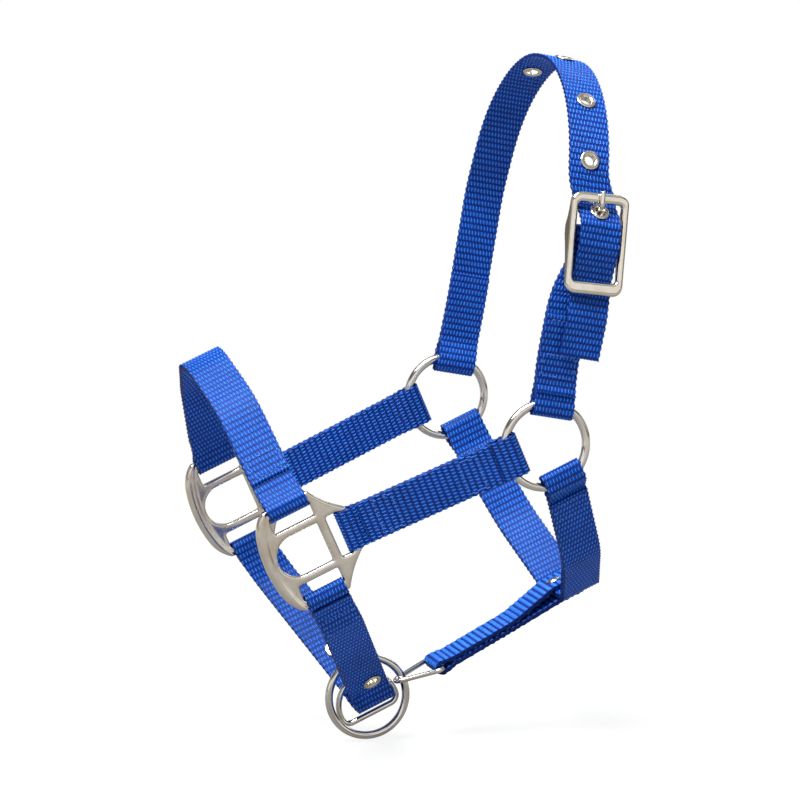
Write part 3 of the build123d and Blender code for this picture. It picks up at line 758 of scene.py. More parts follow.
# ---------------------------------------------------------------- makers
def dress(bm: Shape, name: str, material: Material) -> Piece:
    """Turns a finished bmesh into a smooth-shaded piece.

    Args:
        bm: the shape, in metres, freed afterwards.
        name: the piece's name.
        material: its finish.

    Returns:
        The new object, at the origin.
    """
    for face in bm.faces:
        face.smooth = True
    mesh = bpy.data.meshes.new(name)
    bm.to_mesh(mesh)
    bm.free()
    mesh.materials.append(material)
    piece = bpy.data.objects.new(name, mesh)
    bpy.context.scene.collection.objects.link(piece)
    return piece


def declare(piece: Piece, slot: str, *nodes: str, body: str = HARNESS) -> Piece:
    """Puts a finished piece on its body.

    Args:
        piece: the finished object.
        slot: not used.
        nodes: the frame's nodes that it stands for.
        body: the body that it rides on.

    Returns:
        The piece.
    """
    if nodes:
        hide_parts(*nodes)
    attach(piece, body)
    log.info("%s: %d faces, on %s", piece.name, len(piece.data.polygons), body)
    return piece


def new_items(made: dict, kind: type) -> list:
    """The new elements of one kind in an operator's answer."""
    return [item for item in made["geom"] if isinstance(item, kind)]


def edges_of(made: dict) -> list[Edge]:
    """The edges round a new circle."""
    return list({edge for vert in made["verts"] for edge in vert.link_edges})


def axis_of(node: str) -> tuple[Vector, Vector]:
    """Finds how a round node of the frame stands.

    Args:
        node: the node's name.

    Returns:
        Its centre and its turning axis, in metres.
    """
    points = np.array([vert.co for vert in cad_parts[node].data.vertices])
    middle = (points.min(0) + points.max(0)) / 2
    spread, ways = np.linalg.eigh(np.cov((points - points.mean(0)).T))
    odd = 0 if spread[1] - spread[0] > spread[2] - spread[1] else 2
    return Vector(middle), Vector(ways[:, odd])


def open_rims(bm: Shape) -> list[list[Edge]]:
    """Sorts the open edges of a shape into closed rims.

    Args:
        bm: the shape.

    Returns:
        The edges of each rim.
    """
    loose = {edge for edge in bm.edges if edge.is_boundary}
    rims = []
    while loose:
        waiting, rim = [loose.pop()], []
        while waiting:
            edge = waiting.pop()
            rim.append(edge)
            for other in (other for vert in edge.verts for other in vert.link_edges):
                if other in loose:
                    loose.remove(other)
                    waiting.append(other)
        rims.append(rim)
    return rims


def punch(bm: Shape, node: str, radius: float = 4.05, reach: float = 9.0) -> None:
    """Cuts the hole that an eyelet lines through every ply, and walls it.

    Args:
        bm: the webbing's shape.
        node: the eyelet's node.
        radius: the hole's radius in millimetres.
        reach: how far from the eyelet's centre the cut goes, in millimetres.
    """
    middle, axis = axis_of(node)
    inside = []
    for face in bm.faces:
        away = face.calc_center_median() - middle
        if away.length < reach * MM and (away - axis * away.dot(axis)).length < radius * MM:
            inside.append(face)
    bmesh.ops.delete(bm, geom=inside, context="FACES")

    def depth(rim: list[Edge]) -> float:
        """How far along the eyelet's axis a rim lies."""
        return sum((edge.verts[0].co - middle).dot(axis) for edge in rim) / len(rim)

    rims = sorted(open_rims(bm), key=depth)
    for low, high in zip(rims[::2], rims[1::2]):
        bmesh.ops.bridge_loops(bm, edges=low + high)
    bmesh.ops.recalc_face_normals(bm, faces=bm.faces[:])


@dataclass
class Webbing:
    """One length of webbing: a woven ribbon with a thickness, raised grains and rounded selvages.

    Attributes:
        row: spacing of the rows along the strap, an eighth of the weave's repeat.
        columns: faces across the strap, two to a column of yarn.
        corrugation, corrugation_pitch: depth and spacing of ribs across the strap.
        selvage: width of each edge that is drawn in between the weft's turns.
        eyelets: the frame's nodes whose holes go through the strap.
    """

    name: str
    route: Route
    layout: Layout
    thick: float = 1.35
    width: float = WEB
    wander: Wander = STRAIGHT
    row: float = 0.9625
    columns: int = 48
    corrugation: float = 0.0
    corrugation_pitch: float = 3.6
    selvage: float = 1.1
    scallop: float = 0.22
    eyelets: tuple[str, ...] = ()

    def place(self, station: Station, across: float) -> Vector:
        """Finds a point on the strap's middle surface.

        Args:
            station: the row along the strap.
            across: the place across it.

        Returns:
            The point, in metres.
        """
        low, shift, high = (self.wander.shift(station.y + d) for d in (-1.0, 0.0, 1.0))
        slope = (high - low) / 2 * abs(math.sin(station.heading))
        height = station.y + self.wander.slip(station.y) * across
        return self.layout.place(station.x, height, shift + across * math.hypot(1.0, slope))

    def build(self, material: Material) -> Piece:
        """Makes the ribbon's mesh.

        Args:
            material: the webbing's finish.

        Returns:
            The new piece.
        """
        stations = self.route.stations(self.row)
        bm = bmesh.new()
        run_of, side_of = bm.verts.layers.float.new("run"), bm.verts.layers.float.new("side")
        self._spread(bm, run_of, side_of, stations)
        bm.normal_update()
        for vert in bm.verts:
            vert.co -= vert.normal * (self.thick * MM / 2)
        bmesh.ops.solidify(bm, geom=bm.faces[:], thickness=-self.thick * MM)
        bmesh.ops.recalc_face_normals(bm, faces=bm.faces[:])
        bm.normal_update()
        self._weave(bm, run_of, side_of, stations)
        self._unroll(bm, run_of, side_of)
        for node in self.eyelets:
            punch(bm, node)
        return dress(bm, self.name, material)

    def _spread(self, bm: Shape, run_of: Layer, side_of: Layer, stations: list[Station]) -> None:
        """Draws one edge of the ribbon and extrudes it across the strap.

        Args:
            bm: an empty shape.
            run_of, side_of: its layers for the distance along and the place across.
            stations: the rows.
        """
        edge = -self.width / 2
        first = here = bm.verts.new(self.place(stations[0], edge))
        here[run_of] = stations[0].run
        for station in stations[1:]:
            there = self.place(station, edge)
            step = bmesh.ops.extrude_vert_indiv(bm, verts=[here])["verts"][0]
            bmesh.ops.translate(bm, verts=[step], vec=there - here.co)
            step[run_of] = station.run
            here = step
        if self.route.closed:
            bm.edges.new((here, first))
        for vert in bm.verts:
            vert[side_of] = edge
        edges = bm.edges[:]
        for k in range(1, self.columns + 1):
            made = bmesh.ops.extrude_edge_only(bm, edges=edges)
            edges = new_items(made, Edge)
            for vert in new_items(made, bmesh.types.BMVert):
                vert[side_of] = self.width * (k / self.columns - 0.5)
        for vert in bm.verts:
            vert.co = self.place(self._station(vert[run_of], stations), vert[side_of])

    @staticmethod
    def _station(run: float, stations: list[Station]) -> Station:
        """The station that a row of the strap was made at."""
        low, high, last = stations[0].run, stations[-1].run, len(stations) - 1
        return stations[min(last, max(0, round((run - low) / (high - low) * last)))]

    def _grain(self, run: float, side: float) -> float:
        """Works out how far the yarn stands off the strap's surface.

        Args:
            run: distance along the strap.
            side: place across it.

        Returns:
            The height in metres.
        """
        place = side * MM / WEAVE.column
        column = math.floor(place + 1e-6)
        ridge = math.sin(math.pi * min(1.0, max(0.0, place - column)))
        turn = run * MM / WEAVE.pair + 0.5 * column + WEAVE.slant * (place - column)
        over = 0.35 + 0.325 * (1.0 + math.cos(2 * math.pi * turn))
        rib = 0.55 + 0.225 * (1.0 + math.cos(4 * math.pi * turn))
        lift = WEAVE.lift * (ridge ** WEAVE.roundness * over * rib - 0.5)
        if self.width / 2 - abs(side) < 0.01:
            lift = WEAVE.lift * (rib - 0.8) - 0.10 * self.thick * MM
        if self.corrugation:
            lift += self.corrugation * MM * 0.5 * (math.cos(2 * math.pi * run / self.corrugation_pitch) - 1)
        return lift

    def _weave(self, bm: Shape, run_of: Layer, side_of: Layer, stations: list[Station]) -> None:
        """Raises the warp grains and scallops the selvages.

        Args:
            bm: the strap's shape.
            run_of, side_of: its layers for the distance along and the place across.
            stations: the rows.
        """
        moves = [vert.normal * self._grain(vert[run_of], vert[side_of]) for vert in bm.verts]
        for vert, move in zip(bm.verts, moves):
            vert.co += move
            run, side = vert[run_of], vert[side_of]
            rim = (abs(side) - self.width / 2) / self.selvage + 1
            if rim > 0:
                station = self._station(run, stations)
                outward = self.place(station, side * 1.02) - self.place(station, side)
                swell = math.cos(4 * math.pi * run * MM / WEAVE.pair + side)
                vert.co += outward.normalized() * (self.scallop * MM * rim * (swell - 0.4))

    def _unroll(self, bm: Shape, run_of: Layer, side_of: Layer) -> None:
        """Lays the weave's UV map along the strap, in metres.

        Args:
            bm: the strap's shape.
            run_of, side_of: its layers for the distance along and the place across.
        """
        uv = bm.loops.layers.uv.new("weave")
        length = self.route.length
        for face in bm.faces:
            runs = [loop.vert[run_of] for loop in face.loops]
            wrap = max(runs) - min(runs) > length / 2
            for loop, run in zip(face.loops, runs):
                lap = length if wrap and run < length / 2 else 0.0
                loop[uv].uv = (loop.vert[side_of] * MM, (run + lap) * MM)


@dataclass
class NotchedWebbing(Webbing):
    """Webbing with a slot cut where the buckle's tongue goes through."""

    notch_at: Point = (0.0, 0.0)
    notch_reach: float = 7.6
    notch_half: float = 2.7
    notch_depth: float = 6.5

    def build(self, material: Material) -> Piece:
        """Makes the ribbon, then removes what lies in the slot.

        Args:
            material: the webbing's finish.

        Returns:
            The new piece.
        """
        piece = super().build(material)
        bm = bmesh.new()
        bm.from_mesh(piece.data)
        middle = self.layout.place(*self.notch_at, self.wander.shift(self.notch_at[1]))
        limits = (
            (self.layout.wide, self.notch_half),
            (self.layout.y, self.notch_reach),
            (self.layout.x, self.notch_depth),
        )
        inside = []
        for face in bm.faces:
            away = face.calc_center_median() - middle
            if all(abs(away.dot(way)) < limit * MM for way, limit in limits):
                inside.append(face)
        bmesh.ops.delete(bm, geom=inside, context="FACES")
        bmesh.ops.bridge_loops(bm, edges=[edge for edge in bm.edges if edge.is_boundary])
        bmesh.ops.recalc_face_normals(bm, faces=bm.faces[:])
        bm.to_mesh(piece.data)
        bm.free()
        for face in piece.data.polygons:
            face.use_smooth = True
        return piece


@dataclass(frozen=True)
class TwoSided:
    """Wander of the near half (y above 0) and the far half of the crown."""

    near: Wander
    far: Wander
    cross: float = 30.0

    def shift(self, x: float, s: float) -> float:
        """Finds the sideways place of the crown's centre.

        Args:
            x: place along the line's first direction.
            s: height in the line's plane.

        Returns:
            The place, passing from one half's to the other's over the poll.
        """
        share = eased((x + self.cross) / (2 * self.cross))
        return self.near.shift(s) * share + self.far.shift(s) * (1 - share)


@dataclass
class CrownWebbing(Webbing):
    """Webbing whose two halves wander differently."""

    sides: TwoSided | None = None

    def place(self, station: Station, across: float) -> Vector:
        """Finds a point on the strap's middle surface.

        Args:
            station: the row along the strap.
            across: the place across it.

        Returns:
            The point, in metres.
        """
        low, shift, high = (self.sides.shift(station.x, station.y + d) for d in (-1.0, 0.0, 1.0))
        slope = (high - low) / 2 * abs(math.sin(station.heading))
        return self.layout.place(station.x, station.y, shift + across * math.hypot(1.0, slope))


@dataclass
class Stitches:
    """Rows of sewn stitches on a strap's surface.

    Attributes:
        lift: from the strap's middle line out to the thread.
        length, space, thread: a stitch's length, the pitch of a row, and the thread's half width.
    """

    name: str
    layout: Layout
    route: Route
    lift: float
    wander: Wander = STRAIGHT
    length: float = 2.1
    space: float = 3.0
    thread: float = 0.42
    shape: Shape = field(default_factory=bmesh.new)

    def _point(self, station: Station, across: float) -> Vector:
        """Finds a point on the strap's sewn face.

        Args:
            station: the place along the strap.
            across: the place across it.

        Returns:
            The point, in metres.
        """
        x = station.x + math.sin(station.heading) * self.lift
        y = station.y - math.cos(station.heading) * self.lift
        return self.layout.place(x, y, self.wander.shift(y) + across)

    def _sew(self, a: Vector, b: Vector, normal: Vector) -> None:
        """Makes one stitch, pulled into the webbing at its ends.

        Args:
            a, b: its ends.
            normal: unit direction out of the strap.
        """
        along = (b - a).normalized()
        turn = Matrix((along, normal.cross(along).normalized(), normal)).transposed().to_4x4()
        size = Matrix.Diagonal(((b - a).length / 2, self.thread * MM, self.thread * MM * 0.75, 1.0))
        lying = Matrix.Rotation(math.pi / 2, 4, "Y")
        bmesh.ops.create_uvsphere(
            self.shape, u_segments=6, v_segments=5, radius=1.0,
            matrix=Matrix.Translation((a + b) / 2) @ turn @ size @ lying,
        )

    def across(self, run: float, half: float = 10.2) -> "Stitches":
        """Sews a row across the strap.

        Args:
            run: the row's distance along the strap.
            half: half the row's length.

        Returns:
            These stitches.
        """
        station = self.route.at(run)
        count = int(2 * half / self.space)
        normal = self.layout.right_of(station.heading)
        for k in range(count):
            middle = (k - (count - 1) / 2) * self.space
            a, b = (self._point(station, middle + end * self.length / 2) for end in (-1, 1))
            self._sew(a, b, normal)
        return self

    def along(self, start: float, end: float, side: float) -> "Stitches":
        """Sews a row along the strap.

        Args:
            start, end: the row's two distances along the strap.
            side: its place across the strap.

        Returns:
            These stitches.
        """
        count = int((end - start) / self.space)
        for k in range(count):
            run = start + (k + 0.5) * (end - start) / count
            a, b = self.route.at(run - self.length / 2), self.route.at(run + self.length / 2)
            normal = self.layout.right_of(self.route.at(run).heading)
            self._sew(self._point(a, side), self._point(b, side), normal)
        return self

    def box(self, start: float, end: float, side: float = 10.0) -> "Stitches":
        """A sewn box: two rows across and two along."""
        return self.across(start).across(end).along(start, end, side).along(start, end, -side)

    def build(self, material: Material) -> Piece:
        """Makes the seam's piece."""
        bmesh.ops.recalc_face_normals(self.shape, faces=self.shape.faces[:])
        return dress(self.shape, self.name, material)


@dataclass
class LinedStrap:
    """A strap of one webbing run double between two bars, with a face layer sewn over it.

    Attributes:
        corners, radii: the strap's middle line between its bars, and how it is rounded.
        start, end: the loops round the two bars.
        face_trim: how far the face layer stops short of each loop.
    """

    name: str
    layout: Layout
    corners: list[Point]
    radii: list[float]
    start: BarLoop
    end: BarLoop
    face_trim: Point
    wander: Wander = STRAIGHT
    thick: float = 1.35
    eyelets: tuple[str, ...] = ()

    def __post_init__(self) -> None:
        """Works out the closed liner line and the open face line."""
        line = [(self.start.x, self.start.y), *self.corners, (self.end.x, self.end.y)]
        inner = rounded(line, self.radii)[1:-1]
        forward = [b.shifted(HALF_LINER) for b in inner]
        backward = [b.reverse().shifted(HALF_LINER) for b in reversed(inner)]
        end = self.end.arriving(line[-2], HALF_LINER, PLY)
        start = self.start.arriving(line[1], HALF_LINER, PLY)
        self.lining = Route([*forward, *end, *backward, *start], closed=True)
        face = [b.shifted(LAYER_STEP) for b in (*start[-2:], *forward, *end[:2])]
        self.face = Route(face, trim=self.face_trim)

    def make(self, finishes: Finishes) -> "LinedStrap":
        """Builds the liner and the face layer.

        Args:
            finishes: the halter's finishes.

        Returns:
            This strap.
        """
        for layer, route in (("liner", self.lining), ("face", self.face)):
            node = f"{self.name}_{layer}"
            ply = Webbing(
                node + "_webbing", route, self.layout, self.thick, wander=self.wander, eyelets=self.eyelets
            )
            declare(ply.build(finishes.webbing), "webbing", node)
        return self

    def seam(self) -> Stitches:
        """An empty seam on the strap's face."""
        return Stitches(f"{self.name}_seams", self.layout, self.face, self.thick / 2 + 0.1, self.wander)

    def sew(self, finishes: Finishes, start: Point, end: Point | None = None) -> None:
        """Sews a box near each end of the strap.

        Args:
            finishes: the halter's finishes.
            start: the first box's two distances from the face line's start.
            end: the last box's two distances from its end, the same where left out.
        """
        near, far = end or start
        total = self.face.length
        seam = self.seam().box(*start).box(total - far, total - near)
        declare(seam.build(finishes.thread), "webbing")


@dataclass
class Wire:
    """Round wire bent along a closed line."""

    name: str
    route: Route
    layout: Layout
    wire: float
    sides: int = 20
    row: float = 0.7

    def build(self, material: Material) -> Piece:
        """Sweeps the wire's circle along its line.

        Args:
            material: the wire's finish.

        Returns:
            The new piece.
        """
        stations = self.route.stations(self.row)
        bm = bmesh.new()
        here = self._rest(stations[0])
        made = bmesh.ops.create_circle(bm, segments=self.sides, radius=self.wire / 2 * MM, matrix=here)
        first = ring = edges_of(made)
        for station in stations[1:]:
            there = self._rest(station)
            step = bmesh.ops.extrude_edge_only(bm, edges=ring)
            ring = new_items(step, Edge)
            bmesh.ops.transform(bm, matrix=there @ here.inverted(), verts=new_items(step, bmesh.types.BMVert))
            here = there
        bmesh.ops.bridge_loops(bm, edges=first + ring)
        bmesh.ops.recalc_face_normals(bm, faces=bm.faces[:])
        return dress(bm, self.name, material)

    def _rest(self, station: Station) -> Matrix:
        """Finds where the wire's circle stands at a station.

        Args:
            station: the place on the line.

        Returns:
            The circle's placement.
        """
        ahead = self.layout.x * math.cos(station.heading) + self.layout.y * math.sin(station.heading)
        aside = ahead.cross(self.layout.wide).normalized()
        turn = Matrix((aside, self.layout.wide, ahead)).transposed().to_4x4()
        return Matrix.Translation(self.layout.place(station.x, station.y)) @ turn


@dataclass(frozen=True)
class RoundRing:
    """A welded round ring about the Y axis."""

    name: str
    middle: Vector
    radius: float
    wire: float
    sides: int = 28
    steps: int = 144

    def build(self, material: Material) -> Piece:
        """Spins the wire's circle about the ring's axis.

        Args:
            material: the wire's finish.

        Returns:
            The new piece.
        """
        bm = bmesh.new()
        rim = self.middle + Vector((0.0, 0.0, self.radius))
        upright = Matrix.Translation(rim * MM) @ Matrix.Rotation(math.pi / 2, 4, "Y")
        made = bmesh.ops.create_circle(bm, segments=self.sides, radius=self.wire / 2 * MM, matrix=upright)
        bmesh.ops.spin(
            bm, geom=edges_of(made) + made["verts"], cent=self.middle * MM, axis=OUT,
            angle=2 * math.pi, steps=self.steps, use_merge=True,
        )
        bmesh.ops.remove_doubles(bm, verts=bm.verts[:], dist=1e-7)
        bmesh.ops.recalc_face_normals(bm, faces=bm.faces[:])
        return dress(bm, self.name, material)


@dataclass(frozen=True)
class Casting:
    """Die-cast or pressed metal: the frame's shape with its edges worn round, as plating leaves them."""

    name: str
    node: str
    voxel: float
    passes: int

    def build(self, material: Material) -> Piece:
        """Makes a softened copy of the frame's node.

        Args:
            material: the metal's finish.

        Returns:
            The new piece.
        """
        bm = bmesh.new()
        bm.from_mesh(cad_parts[self.node].data)
        bmesh.ops.remove_doubles(bm, verts=bm.verts[:], dist=1e-6)
        piece = dress(bm, self.name, material)
        remesh = piece.modifiers.new("skin", "REMESH")
        remesh.mode, remesh.voxel_size, remesh.use_smooth_shade = "VOXEL", self.voxel * MM, True
        soften = piece.modifiers.new("soften", "SMOOTH")
        soften.factor, soften.iterations = 0.5, self.passes
        bpy.context.view_layer.update()
        mesh = bpy.data.meshes.new_from_object(piece.evaluated_get(bpy.context.evaluated_depsgraph_get()))
        piece.modifiers.clear()
        rough, piece.data = piece.data, mesh
        bpy.data.meshes.remove(rough)
        mesh.name = self.name
        if not mesh.materials:
            mesh.materials.append(material)
        for face in mesh.polygons:
            face.use_smooth = True
        return piece


# ---------------------------------------------------------------- the halter
@dataclass
class Noseband:
    """The band over the nose, between the two halter squares."""

    rise: float = 114.0
    knee: Point = (46.0, 84.0)
    knee_radius: float = 60.0
    top_radius: float = 30.0
    edge: tuple[Point, ...] = ((0.2, -20.0), (0.2, 42.0), (4.8, 88.0), (4.8, 144.0))

    def make(self, finishes: Finishes) -> None:
        """Builds the noseband's webbing and seams.

        Args:
            finishes: the halter's finishes.
        """
        x, y = self.knee
        strap = LinedStrap(
            "noseband",
            Layout(SQUARE_MID, OUT, RISE, BACK),
            corners=[(x, y), (0.0, self.rise), (-x, y)],
            radii=[self.knee_radius, self.top_radius, self.knee_radius],
            start=square_loop(Side.LEFT),
            end=square_loop(Side.RIGHT),
            face_trim=(18.0, 18.0),
            wander=Wander(self.edge, 12.0),
        )
        strap.make(finishes).sew(finishes, (20.5, 33.0))


@dataclass
class Cheeks:
    """The two cheek straps, from each square back to its ring."""

    bar_back: float = 28.4
    bar_span: float = 0.75
    ring_shift: float = 3.2

    def make(self, finishes: Finishes) -> None:
        """Builds both sides.

        Args:
            finishes: the halter's finishes.
        """
        begin = SQUARE_MID + BACK * self.bar_back
        run = RING_MID + RISE * self.ring_shift - begin
        way = run.normalized()
        slope = math.atan2(RING_HALF - SQUARE_HALF, run.length)
        bar = BarLoop(0.0, SQUARE_HALF, BAR_SEAT, self.bar_span, 0.0)
        heading = -math.cos(slope), -math.sin(slope)
        ring = ring_loop(run.length - RING_RADIUS, RING_HALF, heading, self.ring_shift)
        for side in Side:
            layout = Layout(begin, way, OUT, way.cross(OUT))
            if side is Side.RIGHT:
                layout = layout.mirror()
            strap = LinedStrap(f"{side.word}_cheek", layout, [], [], ring, bar, (5.0, 6.0))
            strap.make(finishes).sew(finishes, (15.0, 26.0), (16.0, 28.0))


@dataclass
class ThroatStrap:
    """The strap under the throat, from ring to ring."""

    knee_out: float = 64.0
    knee_rise: float = 32.5
    flat_half: float = 22.5

    def make(self, finishes: Finishes) -> None:
        """Builds the throat strap's webbing and seams.

        Args:
            finishes: the halter's finishes.
        """
        knee_drop = THROAT_DROP - self.knee_rise
        half = [(self.knee_out, knee_drop), (self.flat_half, THROAT_DROP)]
        strap = LinedStrap(
            "throat",
            Layout(RING_MID + THROAT_WIDE * THROAT_SHIFT, OUT, DOWN, THROAT_WIDE),
            corners=half + [(-x, y) for x, y in reversed(half)],
            radii=[60.0, 10.0, 10.0, 60.0],
            start=ring_loop(RING_HALF, RING_RADIUS, (0.0, 1.0), THROAT_SHIFT),
            end=ring_loop(-RING_HALF, RING_RADIUS, (0.0, 1.0), THROAT_SHIFT),
            face_trim=(11.0, 11.0),
        )
        strap.make(finishes).sew(finishes, (13.5, 25.0))


@dataclass
class ChinStrap:
    """The V of webbing under the chin that carries the lead ring."""

    lean: float = 0.1465
    past: float = 30.0
    knee: Point = (78.5, 51.5)
    point_half: float = 10.5
    fold_half: float = 7.0
    thick: float = 1.1

    def make(self, finishes: Finishes) -> None:
        """Builds the chin strap's webbing and seams.

        Args:
            finishes: the halter's finishes.
        """
        low = CHIN_DROP + self.past
        edge = ((0.0, -100.0), (0.0, 33.0), (self.lean * (low - SQUARE_BAR), low))
        half = [self.knee, (self.point_half, CHIN_DROP - 12.0), (self.fold_half, CHIN_DROP)]
        strap = LinedStrap(
            "chin",
            Layout(SQUARE_MID, OUT, -RISE, BACK),
            corners=half + [(-x, y) for x, y in reversed(half)],
            radii=[30.0, 12.0, 5.5, 5.5, 12.0, 30.0],
            start=square_loop(Side.LEFT),
            end=square_loop(Side.RIGHT),
            face_trim=(1.5, 1.5),
            wander=Wander(edge, 6.0),
            thick=self.thick,
            eyelets=tuple(f"chin_eyelet_{side.word}" for side in Side),
        )
        strap.make(finishes).sew(finishes, (13.0, 27.0))


@dataclass
class CrownStrap:
    """The strap over the poll: tail, buckle, poll, right ring and its sewn fold.

    Attributes:
        room: space that one layer of the strap takes.
        bar_y, bar_s, bar_w: the buckle's centre bar: outward, up from the ring, and across the strap.
        tilt, turn: how far the buckle leans in at its top, in degrees, and its slope forward.
        eye: the hole that the tongue is in, outward and up from the centre bar.
        eye_slope: the strap's slope through that hole, in degrees.
        tail_out: how far outward of the bar the tail lies.
        ring_shift, ease: where the strap crosses the right ring, and extra length of its loop.
        billet_low, billet_cover: the billet's bend, and the length of the layer that covers it.
    """

    thick: float = 2.1
    room: float = 2.4
    bar_y: float = 98.5
    bar_s: float = 127.7
    bar_w: float = -5.6
    tilt: float = 8.0
    turn: float = math.tan(math.radians(3.5))
    eye: Point = (5.2, 10.6)
    eye_slope: float = 42.0
    tail_out: float = 2.1
    ring_shift: float = 1.2
    ease: float = 0.4
    billet_low: Point = (101.2, 86.0)
    billet_cover: float = 46.8

    @property
    def layout(self) -> Layout:
        """The plane of the crown, from the rings up to the poll."""
        return Layout(RING_MID, OUT, UP, WIDE)

    @property
    def top(self) -> float:
        """The height of the strap's middle over the poll."""
        return CROWN_HEIGHT + self.room / 2

    def in_buckle(self, n: float, t: float) -> Point:
        """A point n outward and t up from the buckle's centre bar."""
        c, s = tilted(self.tilt)
        return self.bar_y + n * c - t * s, self.bar_s + n * s + t * c

    def near_line(self) -> list[Point]:
        """Lists the corners from the strap's tail up to the poll.

        Returns:
            The corners: tail, under the buckle, through the tongue's hole, poll.
        """
        n, t = self.eye
        c, s = tilted(self.eye_slope)
        return [
            (107.5, 54.0),
            (108.8, 78.0),
            self.in_buckle(self.tail_out, -38.5),
            self.in_buckle(self.tail_out, -28.0),
            self.in_buckle(n + s * 7.6, t - c * 8.2 - 14.0),
            self.in_buckle(n + s * 8.2, t - c * 8.2),
            self.in_buckle(n - s * 7.9, t + c * 7.9),
            self.in_buckle(n - s * 9.2, t + c * 9.2 + 6.0),
            (70.5, self.top),
        ]

    def line(self) -> Route:
        """Lays the whole strap, tail to sewn end.

        Returns:
            The strap's middle line.
        """
        half = (self.room + LAYER_GAP) / 2
        loop = ring_loop(-RING_HALF, RING_RADIUS, (0.0, 1.0), self.ring_shift, self.ease)
        toward = (-RING_HALF + 0.4, 60.0)
        meet = Vector((loop.x, loop.y)) + loop.heart(toward) * loop.reach
        far_line = [(-70.5, self.top), (-97.0, 132.0), (-99.6, 72.0), (meet.x - half, meet.y)]
        radii = [20.0, 12.0, 12.0, 10.0, 2.6, 2.2, 12.0, 92.0, 93.0, 80.0, 60.0]
        bends = rounded(self.near_line() + far_line, radii)[:-1]
        return Route([*bends, *loop.arriving(toward, half, self.room), Bend(meet.x + half + 0.9, 78.0)])

    def sides(self) -> TwoSided:
        """Says how the strap's two halves wander.

        Returns:
            The wander of each half.
        """
        over = self.top + 30
        below, above = self.bar_w - self.turn * 32, self.bar_w + self.turn * 13.8
        near = (
            (below, 20.0),
            (below, self.bar_s - 32),
            (above, self.bar_s + 13.8),
            (2.0, self.bar_s + 31),
            (3.2, over),
        )
        far = ((-1.2, -20.0), (-1.2, 60.0), (3.2, 185.0), (3.2, over))
        return TwoSided(Wander(near, 6.0), Wander(far, 12.0))

    def make(self, finishes: Finishes) -> None:
        """Builds the crown strap, its seams and the billet.

        Args:
            finishes: the halter's finishes.
        """
        route, sides = self.line(), self.sides()
        holes = tuple(f"crown_eyelet_{number}" for number in range(1, CROWN_EYELETS + 1))
        crown = CrownWebbing(
            "crown_strap_webbing", route, self.layout, self.thick, eyelets=holes, sides=sides
        )
        declare(crown.build(finishes.webbing), "webbing", "crown_strap")
        log.info("crown strap %.1f mm long", route.length)
        seam = Stitches("crown_fold_seams", self.layout, route, -self.thick / 2 - 0.05, sides.far)
        seam.box(route.length - 26.0, route.length - 3.0)
        declare(seam.build(finishes.pale_thread), "webbing")
        self.make_billet(finishes)

    def make_billet(self, finishes: Finishes) -> None:
        """Builds the doubled strap from the left ring up to the buckle's centre bar.

        Args:
            finishes: the halter's finishes.
        """
        bar = BarLoop(self.bar_y, self.bar_s, 2.25, reach=12.0)
        straight = ((0.0, -20.0), (0.0, 18.0), (2.8, 50.0), (2.8, 86.0))
        marks = (*straight, (self.bar_w, 113.0), (self.bar_w, 180.0))
        wander = Wander(marks, 8.0, -self.turn, 88.0, 113.0)
        high = Vector((bar.x, bar.y)) + bar.heart(self.in_buckle(-2.2, -24.0)) * bar.reach
        strap = LinedStrap(
            "billet",
            self.layout,
            corners=[self.billet_low, tuple(high)],
            radii=[80.0, 20.0],
            start=ring_loop(RING_HALF, RING_RADIUS, (0.0, 1.0), ease=self.ease),
            end=bar,
            face_trim=(4.0, 0.0),
            wander=wander,
        )
        lining = NotchedWebbing(
            "billet_webbing", strap.lining, self.layout, strap.thick, wander=wander, notch_at=(bar.x, bar.y)
        )
        declare(lining.build(finishes.webbing), "webbing", "billet")
        begin = strap.face_trim[0]
        strap.face.trim = (begin, strap.face.length - begin - self.billet_cover)
        cover = Webbing("billet_face_webbing", strap.face, self.layout, strap.thick, wander=wander)
        declare(cover.build(finishes.webbing), "webbing", "billet_face")
        declare(strap.seam().box(14.5, 27.0).across(47.3).build(finishes.thread), "webbing")


